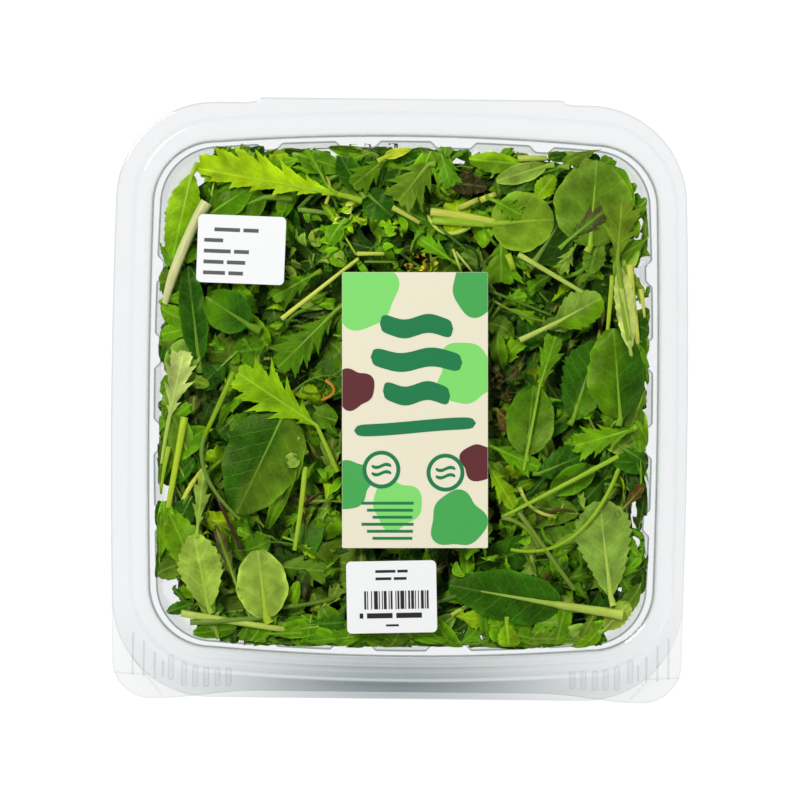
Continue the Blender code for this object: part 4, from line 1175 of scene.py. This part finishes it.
# Small curled bits between the leaves: place, spread, count, size, tone
CRUMBS = (
    ((-17, 61), 5, 7, 3.6, "pale"),
    ((-16, 56), 4, 7, 3.0, "lime"),
    ((-5, 55), 5, 9, 3.6, "lime"),
    ((6, 44), 5, 14, 2.4, "yellow"),
    ((5, 44), 4, 5, 2.0, "amber"),
    ((-6, 50), 8, 12, 4.5, "fresh"),
    ((-28, 45), 9, 16, 5.0, "sage"),
    ((-25, 55), 8, 12, 4.5, "fresh"),
    ((30, -45), 12, 16, 5.0, "fresh"),
    ((-22, -30), 10, 16, 5.0, "fresh"),
    ((-12, 83), 12, 10, 3.0, "brown"),
    ((19, 70.5), 6, 16, 4.5, "soil"),
    ((34.5, 5), 5, 12, 5.0, "soil"),
    ((39.6, -9), 4, 10, 5.0, "brown"),
    ((-66, -50), 6, 14, 4.0, "lime"),
    ((60, 5), 14, 9, 4.5, "fresh"),
)


# How far leaves reach towards each corner (right, back), as x and y added up
CORNER_REACH = {(False, True): 142.0, (True, True): 146.0, (False, False): 147.0, (True, False): 148.0}
# Stretches of the wall round the corners, and how high leaves lie there
LOW_CORNERS = ((104, 132, 52), (230, 258, 30), (359, 387, 52), (485, 510, 52))
# How many pieces lie where. Not all of them find room
BED_LEAVES = 290
SHREDS = 520
LOOSE_STALKS = 85
# Leaves along the walls, of which the first lie low, and more under the front edge of the lid
EDGE_LEAVES = 300
LOW_EDGE_LEAVES = 170
FRONT_LEAVES = 60
FRONT_REACH = (-44.0, 52.0)
# Leaves against the walls, of which the last lie high up
SIDE_LEAVES = 430
LOW_SIDE_LEAVES = 310
SIDE_STALKS = 220
FLOOR_LEAVES = 110
LEAF_KINDS = ["tatsoi", "mizuna", "mizuna", "mustard"]
# Steps that spread places evenly over a unit square
EVEN_STEP = np.array([0.7549, 0.5698])


def in_well(rng, margin):
    """A random place inside the tub, seen from above."""
    while True:
        x = rng.uniform(-80, 80)
        y = rng.uniform(-82, 82)
        over_x = max(abs(x) - (80 - margin - 24), 0)
        over_y = max(abs(y) - (82 - margin - 24), 0)
        if math.hypot(over_x, over_y) < 24:
            return np.array([x + FORM[0], y + FORM[1]])


def even_spot(index, rng):
    """One of many evenly spread places inside the tub, seen from above."""
    share = EVEN_STEP * index % 1
    return np.array(FORM) + (share * 2 - 1) * np.array([79, 81]) + rng.uniform(-3, 3, 2)


def past_corner(spot, size):
    """Whether a leaf here would reach into a corner, where the heap is lower."""
    local = spot - np.array(FORM)
    reach = CORNER_REACH[(local[0] > 0, local[1] > 0)]
    return abs(local[0]) + abs(local[1]) + size * 0.5 > reach


def sink_at_corner(spot):
    """Lower a place on the wall if it is at a corner."""
    for start, end, top in LOW_CORNERS:
        if start < spot[0] < end:
            spot[1] = min(spot[1], top)


def heading(rng):
    turn = rng.uniform(0, 2 * math.pi)
    return np.array([math.cos(turn), math.sin(turn)])


def leaf_ends(spot, way, size, root=0.5):
    """Root, foot of the blade and tip of a leaf round a place."""
    return spot - way * size * root, spot - way * size / 2, spot + way * size / 2


def grow_top(garden):
    """The top of the heap, from the dark depths up to the leaves against the lid."""
    rng = garden.rng
    bed = Bed((-84, -86), (86, 90), heap_ground, TOP_LIMIT, keep_in)
    garden.group = "bed"
    for index in range(BED_LEAVES):
        spot = even_spot(index, rng)
        way = heading(rng)
        kind = rng.choice(LEAF_KINDS)
        size = rng.uniform(13, 28)
        # The lowest layer takes mostly dark tones: painted shade of the depths
        tone = rng.choice(["deep", "leaf", "dark", "olive", "deep"])
        if past_corner(spot, size):
            continue
        garden.leaf(bed, kind, *leaf_ends(spot, way, size),
                    size * rng.uniform(0.4, 0.7), tone, cap=70.2, ripple=0.7, fine=False, rough=True,
                    flat=True, tilt=tuple(rng.uniform(-0.2, 0.2, 2)), deep=(64, 71))
    garden.group = "shred"
    for index in range(SHREDS):
        spot = even_spot(index, rng)
        way = heading(rng)
        size = rng.uniform(5, 15)
        tone = rng.choice(["leaf", "fresh", "deep", "olive", "lime", "leaf", "fresh", "sage"])
        red = 0.9 if rng.uniform() < 0.07 else None
        stalked = rng.uniform() < 0.22
        if past_corner(spot, size):
            continue
        garden.leaf(bed, rng.choice(["mizuna", "mizuna", "mustard", "mizuna"]),
                    *leaf_ends(spot, way, size, root=1.0 if stalked else 0.5),
                    size * rng.uniform(0.35, 0.75), tone, cap=72.2, ripple=1.0, fine=False,
                    tilt=tuple(rng.uniform(-0.4, 0.4, 2)), bend=rng.uniform(-2.5, 2.5), red=red,
                    deep=(65, 71.5), rib=stalked)
    for _ in range(LOOSE_STALKS):
        spot = in_well(rng, 4)
        way = heading(rng)
        size = rng.uniform(8, 30)
        side = np.array([-way[1], way[0]]) * rng.uniform(-5, 5)
        tone = rng.choice(["leaf", "fresh", "sage", "olive", "pale", "deep", "fresh", "brown"])
        if past_corner(spot, size * 0.7):
            continue
        garden.stalk(bed, (spot - way * size / 2, spot + side, spot + way * size / 2),
                     rng.uniform(0.5, 1.6), tone, cap=72.6)
    garden.group = "crumb"
    for place, spread, count, size, tone in CRUMBS:
        for _ in range(count):
            spot = np.array(place) + rng.uniform(-1, 1, 2) * spread
            way = heading(rng) * size * rng.uniform(0.3, 0.65)
            garden.leaf(bed, rng.choice(["mizuna", "tatsoi"]), spot - way, spot - way, spot + way,
                        size * rng.uniform(0.3, 0.6), tone, height=70.6, cap=73.4, ripple=0.8, fine=False,
                        flat=True, tilt=tuple(rng.uniform(-0.5, 0.5, 2)), bend=rng.uniform(-1.5, 1.5),
                        rib=False)
    garden.group = "edge"
    for count in range(EDGE_LEAVES + FRONT_LEAVES):
        low = count < LOW_EDGE_LEAVES or count >= EDGE_LEAVES
        spot = in_well(rng, -4)
        local = spot - np.array(FORM)
        reach = 79.0 / max(abs(local[0]), abs(local[1]) * 79.0 / 80.5)
        spot = np.array(FORM) + local * reach * rng.uniform(0.91, 1.015)
        if count >= EDGE_LEAVES:
            spot = np.array([rng.uniform(*FRONT_REACH), rng.uniform(-82.4, -80.6)])
        if math.hypot(max(abs(spot[0]) - 60, 0), max(abs(spot[1]) - 62, 0)) > 22:
            continue
        way = heading(rng)
        size = rng.uniform(8, 18)
        if past_corner(spot, size * 0.7):
            continue
        kind = rng.choice(LEAF_KINDS)
        tones = ["leaf", "fresh", "fresh", "olive", "leaf", "sage", "deep"]
        # Low ones take only darker tones, as painted shade
        if low:
            tones = ["deep", "leaf", "olive", "dark"]
        garden.leaf(bed, kind, *leaf_ends(spot, way, size),
                    size * rng.uniform(0.4, 0.65), rng.choice(tones), height=69.9 if low else 70.9,
                    cap=71.4 if low else 72.8, ripple=0.7, fine=False, tilt=tuple(rng.uniform(-0.1, 0.1, 2)))
    garden.group = "top"
    order = sorted(range(len(TOP_LEAVES)), key=lambda n: TOP_LEAVES[n][5])
    for rank, number in enumerate(order):
        kind, root, foot, tip, width, level, tone, *extra = TOP_LEAVES[number]
        look = dict(cup=rng.uniform(-0.5, 0.6), red=0.9 if tone == "plum" else None)
        if extra:
            look.update(extra[0])
        cap = TOP_LIMIT - 0.6 + 0.6 * rank / len(order) if level > 1 else 73.4 + 0.4 * level
        garden.leaf(bed, kind, root, foot, tip, width, "leaf" if tone == "plum" else tone,
                    height=LEAF_LEVEL + level * LEVEL_STEP - 0.6, cap=cap, **look)
        last_of_level = rank + 1 == len(order) or TOP_LEAVES[order[rank + 1]][5] != level
        for route, stalk_width, stalk_level, stalk_tone in TOP_STALKS:
            if last_of_level and stalk_level == level:
                garden.stalk(bed, route, stalk_width, stalk_tone,
                             height=LEAF_LEVEL + level * LEVEL_STEP - 0.8, cap=TOP_LIMIT)


def grow_sides(garden):
    """Leaves pressed against the walls all round."""
    rng = garden.rng
    garden.group = "side"
    total = 4 * (RUN_X + RUN_Y) + 4 * ARC
    low, high = (-39, 4.5), (total + 39, 68.5)
    bed = Bed((-40, 4), (total + 40, 69), side_ground, SIDE_DEPTH, wrap)
    for count in range(SIDE_LEAVES):
        share = EVEN_STEP * count % 1
        height = 57 + 9 * share[1] if count > LOW_SIDE_LEAVES else 8 + 55 * share[1]
        spot = np.array([total * share[0], height])
        sink_at_corner(spot)
        way = heading(rng)
        kind = rng.choice(LEAF_KINDS)
        size = rng.uniform(13, 30)
        tone = rng.choice(["deep", "leaf", "fresh", "lime", "olive", "sage", "leaf"])
        red = 0.85 if rng.uniform() < 0.08 else None
        ends = [np.clip(spot + way * size * k, low, high) for k in (-0.8, -0.5, 0.5)]
        garden.leaf(bed, kind, *ends, size * rng.uniform(0.42, 0.66), tone, ripple=0.5, fine=False,
                    rough=True, red=red)
    for _ in range(SIDE_STALKS):
        spot = np.array([rng.uniform(0, total), rng.uniform(9, 65)])
        sink_at_corner(spot)
        way = heading(rng)
        size = rng.uniform(10, 36)
        ends = [np.clip(spot + way * size * k, low, high) for k in (-0.5, 0.5)]
        garden.stalk(bed, ends, rng.uniform(0.8, 2.2), rng.choice(["leaf", "sage", "pale", "fresh"]),
                     fine=False)


def grow_under(garden):
    """Leaves lying on the tub's floor."""
    rng = garden.rng
    garden.group = "under"
    bed = Bed((-74, -75), (77, 78), under_ground, 4.0, turn_under)
    for _ in range(FLOOR_LEAVES):
        spot = in_well(rng, 16)
        way = heading(rng)
        kind = rng.choice(LEAF_KINDS)
        size = rng.uniform(14, 28)
        tone = rng.choice(["deep", "leaf", "fresh", "olive", "sage", "leaf"])
        ends = [np.clip(spot + way * size * k, -66, 68) for k in (-0.8, -0.5, 0.5)]
        garden.leaf(bed, kind, *ends, size * rng.uniform(0.4, 0.6), tone, ripple=0.4, fine=False, rough=True)


def build_core(material):
    """The inside of the heap, near-black as painted shade, kept just under the leaves."""
    rows = []
    for z in np.linspace(UNDER_Z - 0.6, 60, 12):
        rows.append((z, -SIDE_DEPTH - 0.6))
    rows += [(63.0, -SIDE_DEPTH - 3.0), (64.6, -SIDE_DEPTH - 8.0)]
    points = []
    for z, grow in rows:
        half_x, half_y, radius = wall_shape(np.array([z]))
        shape = (half_x[0] + grow, half_y[0] + grow, radius, 0.0, 0.0)
        ring = outline(shape, side_steps=14, corner_steps=10)
        points.append(np.column_stack([ring, np.full(len(ring), z)]))
    inner = points[-1]
    columns = len(inner)
    for share in (0.75, 0.5, 0.25):
        ring = inner.copy()
        ring[:, :2] = np.array(FORM) + (ring[:, :2] - np.array(FORM)) * share
        ring[:, 2] = heap_ground(ring[:, 0], ring[:, 1]) - 0.4
        points.append(ring)
    faces = []
    for row in range(len(points) - 1):
        for column in range(columns):
            after = (column + 1) % columns
            low = row * columns
            faces.append((low + column, low + after, low + columns + after, low + columns + column))
    faces.append(tuple(range(columns))[::-1])
    last = (len(points) - 1) * columns
    faces.append(tuple(range(last, last + columns)))
    made = new_mesh("heap_core", np.concatenate(points), faces, material, "tub")
    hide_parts("salad")
    return made


def build_salad():
    garden = Garden(np.random.default_rng(SEED))
    grow_top(garden)
    grow_sides(garden)
    grow_under(garden)
    build_core(core_material())
    materials = {
        "tatsoi": leaf_material("tatsoi", 0.36, 5.2, 0.6),
        "mizuna": leaf_material("mizuna", 0.42, 4.0, 0.8),
        "mustard": leaf_material("mustard", 0.42, 4.4, 0.8),
        "stalk": stalk_material(),
    }
    for (group, kind), batch in garden.batches.items():
        batch.build(f"{group}_{kind}", materials[kind])


# Labels

def round_rectangle(width, length, radius, steps=8):
    """Corner-rounded rectangle round the origin, anticlockwise."""
    points = []
    for quarter, (side_x, side_y) in enumerate(((1, 1), (-1, 1), (-1, -1), (1, -1))):
        for step in range(steps + 1):
            turn = math.radians(90 * (quarter + step / steps))
            points.append((
                side_x * (width / 2 - radius) + radius * math.cos(turn),
                side_y * (length / 2 - radius) + radius * math.sin(turn)))
    return np.array(points)


def turned(points, turn, place):
    """Turn points by an angle in degrees round the origin and move them to a place."""
    turn = math.radians(turn)
    spin = np.array([[math.cos(turn), -math.sin(turn)], [math.sin(turn), math.cos(turn)]])
    return np.array(points) @ spin.T + np.array(place)


def clip(points, width, length):
    """Cut a shape to the label's rectangle."""
    half_x, half_y = width / 2, length / 2
    for axis, bound, sign in ((0, half_x, 1), (0, -half_x, -1), (1, half_y, 1), (1, -half_y, -1)):
        kept = []
        for index in range(len(points)):
            here = points[index]
            after = points[(index + 1) % len(points)]
            inside = sign * here[axis] <= sign * bound
            next_inside = sign * after[axis] <= sign * bound
            if inside:
                kept.append(here)
            if inside != next_inside:
                share = (bound - here[axis]) / (after[axis] - here[axis])
                kept.append(here + (after - here) * share)
        points = kept
        if not points:
            break
    return points


class Print:
    """Flat shapes of one ink on a label."""

    def __init__(self, label, level):
        self.size, _, self.place, self.turn = LABELS[label]
        self.z = LABEL_TOP + INK * level
        self.points = []
        self.faces = []

    def add(self, shape):
        """Add one filled shape, cut to the label."""
        shape = clip([np.array(p, dtype=float) for p in shape], self.size[0] - 0.2, self.size[1] - 0.2)
        if len(shape) < 3:
            return
        flat = turned(shape, self.turn, self.place)
        start = len(self.points)
        count = len(flat)
        for z in (self.z, self.z - INK * 0.6):
            self.points += [(x, y, z) for x, y in flat]
        self.faces.append(tuple(range(start, start + count)))
        self.faces.append(tuple(range(start + 2 * count - 1, start + count - 1, -1)))
        for step in range(count):
            after = (step + 1) % count
            self.faces.append((start + step, start + count + step, start + count + after, start + after))

    def build(self, name, material, slot):
        return new_mesh(name, self.points, self.faces, material, "lid", smooth=False)


def disc(x, y, radius, wobble=0.0, phase=0.0, count=48, stretch=1.0):
    """A round or gently wavy disc."""
    turn = np.linspace(0, 2 * math.pi, count, endpoint=False)
    reach = radius * (1 + wobble * np.sin(turn * 3 + phase) + wobble * 0.6 * np.sin(turn * 5 - phase * 2))
    return np.stack([x + reach * np.cos(turn) * stretch, y + reach * np.sin(turn)], axis=1)


def bar(x, y, width, height):
    """An upright rectangle round a point."""
    return [(x - width / 2, y - height / 2), (x + width / 2, y - height / 2),
            (x + width / 2, y + height / 2), (x - width / 2, y + height / 2)]


def wave_band(x, y, width, height, rise, waves):
    """A band that waves along its length, with round ends."""
    across = np.linspace(-width / 2, width / 2, 40)
    middle = rise * np.sin(across / width * 2 * math.pi * waves)
    end = np.sqrt(np.clip(1 - np.abs(across / (width / 2)) ** 14, 0, 1))
    top = np.stack([x + across, y + middle + height / 2 * end], axis=1)
    base = np.stack([x + across, y + middle - height / 2 * end], axis=1)
    return np.concatenate([base, top[::-1]])


def build_labels():
    """Paper, then fields of colour and simple shapes."""
    cream = paper_material("paper_cream", (0.72, 0.68, 0.52))
    white = paper_material("paper_white", (0.77, 0.78, 0.78))
    inks = {
        "light_green": paper_material("ink_light_green", (0.19, 0.62, 0.13)),
        "mid_green": paper_material("ink_mid_green", (0.05, 0.34, 0.07)),
        "deep_green": paper_material("ink_deep_green", (0.004, 0.17, 0.055)),
        "maroon": paper_material("ink_maroon", (0.10, 0.016, 0.02)),
        "grey": paper_material("ink_grey", (0.085, 0.087, 0.09)),
        "black": paper_material("ink_black", (0.012, 0.012, 0.014)),
    }
    for name, (size, radius, place, turn) in LABELS.items():
        flat = turned(round_rectangle(*size, radius), turn, place)
        count = len(flat)
        points = [(x, y, LABEL_BASE + 0.02) for x, y in flat] + [(x, y, LABEL_TOP) for x, y in flat]
        faces = [tuple(range(count))[::-1], tuple(range(count, 2 * count))]
        faces += [(k, (k + 1) % count, count + (k + 1) % count, count + k) for k in range(count)]
        paper = cream if name == "label_main" else white
        made = new_mesh(f"{name}_paper", points, faces, paper, "lid", smooth=False)
        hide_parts(name)

    light = Print("label_main", 1)
    mid = Print("label_main", 2)
    maroon = Print("label_main", 3)
    deep = Print("label_main", 4)
    light.add(disc(-17, 38, 11, 0.10, 0.4))
    light.add(disc(17, 12, 10, 0.12, 2.0))
    light.add(disc(-6, -31, 8, 0.10, 1.0))
    mid.add(disc(21, 40, 9, 0.08, 1.2))
    mid.add(disc(-22, -24, 8, 0.12, 0.1))
    mid.add(disc(14, -36, 9, 0.10, 2.6))
    maroon.add(disc(-20, 7, 6.5, 0.10, 0.9))
    maroon.add(disc(21, -17, 6, 0.10, 0.2))
    for y, width in ((27.5, 24), (16.5, 30), (5.5, 22)):
        deep.add(wave_band(0.5, y, width, 6.2, 0.9, 1.5))
    deep.add(wave_band(0, -5.5, 40, 4.0, 1.2, 0.5))
    deep.add(disc(-11, -19.5, 6.2))
    deep.add(disc(10, -20.5, 6.2))
    light.build("label_main_light", inks["light_green"], "label_print")
    mid.build("label_main_mid", inks["mid_green"], "label_print")
    maroon.build("label_main_maroon", inks["maroon"], "label_print")
    deep.build("label_main_deep", inks["deep_green"], "label_print")

    pale = Print("label_main", 5)
    for x, y in ((-11, -19.5), (10, -20.5)):
        pale.add(disc(x, y, 4.9))
    pale.build("label_main_pale", cream, "label_print")
    small = Print("label_main", 6)
    for x, y in ((-11, -19.5), (10, -20.5)):
        small.add(wave_band(x, y + 1.2, 6.6, 1.1, 0.5, 1.0))
        small.add(wave_band(x, y - 1.2, 6.6, 1.1, 0.5, 1.0))
    for row in range(6):
        small.add(bar(-9 + 0.8 * (row % 3), -30.5 - 2.3 * row, 17 - 2.0 * (row % 3), 0.9))
    small.build("label_main_small", inks["deep_green"], "label_print")

    words = Print("label_contents", 1)
    lines = (
        (-9.0, (8.4, 5.0)), (-12.2, (6.2,)), (-12.2, (8.8, 4.9)),
        (-12.2, (6.6, 6.0)), (-12.2, (7.2, 4.8)),
    )
    for row, (start, widths) in enumerate(lines):
        for width in widths:
            words.add(bar(start + width / 2, 6.3 - 3.55 * row, width, 1.25))
            start += width + 1.1
    words.build("label_contents_bars", inks["grey"], "label_paper")

    code = Print("label_barcode", 1)
    x = -9.0
    pattern = (2, 1, 1, 3, 1, 2, 4, 1, 1, 2, 1, 1, 3, 2, 1, 1, 2, 3, 1, 1,
               2, 1, 4, 1, 1, 2, 2, 1, 3, 1, 1, 2, 1, 2, 3, 1, 1, 1, 2)
    unit = 0.32
    for index, count in enumerate(pattern):
        if index % 2 == 0:
            code.add(bar(x + count * unit / 2, -1.0, count * unit, 6.0))
        x += count * unit
    for start, width, y, height in (
            (-5.2, 6.6, 8.4, 0.9), (2.0, 3.4, 8.4, 0.9), (-5.2, 5.2, 6.0, 0.9), (0.8, 4.2, 6.0, 0.9),
            (-10.6, 1.2, -6.1, 1.7), (-8.2, 8.4, -6.1, 1.7), (1.4, 8.4, -6.1, 1.7), (-2.0, 4.2, -9.3, 0.7)):
        code.add(bar(start + width / 2, y, width, height))
    code.build("label_barcode_bars", inks["black"], "label_paper")


# Room

AIM = Vector((0.0, 0.0, 0.07))


def build_room():
    """Plain white floor, soft light from the sides and above, and a camera straight above."""
    floor_mesh = bpy.data.meshes.new("floor")
    reach = 3.0
    corners = [(-reach, -reach, 0), (reach, -reach, 0), (reach, reach, 0), (-reach, reach, 0)]
    floor_mesh.from_pydata(corners, [], [(0, 1, 2, 3)])
    floor = bpy.data.objects.new("floor", floor_mesh)
    floor.location.z = TABLE_Z - 0.0002
    bpy.context.scene.collection.objects.link(floor)
    nodes = Nodes("floor_white")
    glow = nodes.add("Emission", {"Strength": 1.0}).outputs[0]
    plain = nodes.add("BsdfDiffuse", {"Color": (0.05, 0.05, 0.05, 1)}).outputs[0]
    glow_and_plain = nodes.add("AddShader", {0: glow, 1: plain}).outputs[0]
    floor_mesh.materials.append(nodes.finish(glow_and_plain))

    world = bpy.data.worlds.new("room")
    bpy.context.scene.world = world
    world.use_nodes = True
    nodes = world.node_tree.nodes
    link = world.node_tree.links.new
    back = nodes["Background"]
    where = nodes.new("ShaderNodeTexCoord")
    split = nodes.new("ShaderNodeSeparateXYZ")
    level = nodes.new("ShaderNodeMapRange")
    level.interpolation_type = "SMOOTHSTEP"
    for key, value in {"From Min": 0.6, "From Max": 0.95, "To Min": 0.8, "To Max": 0.01}.items():
        level.inputs[key].default_value = value
    link(where.outputs["Generated"], split.inputs[0])
    link(split.outputs["Z"], level.inputs["Value"])
    link(level.outputs["Result"], back.inputs["Strength"])
    back.inputs["Color"].default_value = (1, 1, 1, 1)

    def softbox(name, place, size, power):
        data = bpy.data.lights.new(name, "AREA")
        data.energy = power
        data.size = size
        lamp = bpy.data.objects.new(name, data)
        lamp.location = place
        lamp.rotation_euler = (AIM - Vector(place)).to_track_quat("-Z", "Y").to_euler()
        bpy.context.scene.collection.objects.link(lamp)

    softbox("key", (-0.62, 0.62, 1.15), 0.45, 15.0)
    softbox("fill", (0.9, -0.5, 0.9), 0.8, 4.0)

    camera_data = bpy.data.cameras.new("camera")
    camera = bpy.data.objects.new("camera", camera_data)
    bpy.context.scene.collection.objects.link(camera)
    distance = 1.6
    field = 0.2621
    sensor = 36.0
    camera_data.sensor_width = sensor
    camera_data.lens = sensor * distance / field
    camera_data.clip_end = 20.0
    camera.location = (0.00016, -0.00025, 0.076 + distance)
    camera.rotation_euler = (0.0, 0.0, math.radians(0.6))
    bpy.context.scene.camera = camera
    bpy.context.scene.view_settings.view_transform = "Standard"
    bpy.context.scene.cycles.transparent_max_bounces = 32


build_room()
FILM_MATERIAL = film_material()
build_tub(FILM_MATERIAL)
build_lid(FILM_MATERIAL)
build_ribs(FILM_MATERIAL)
build_labels()
build_salad()
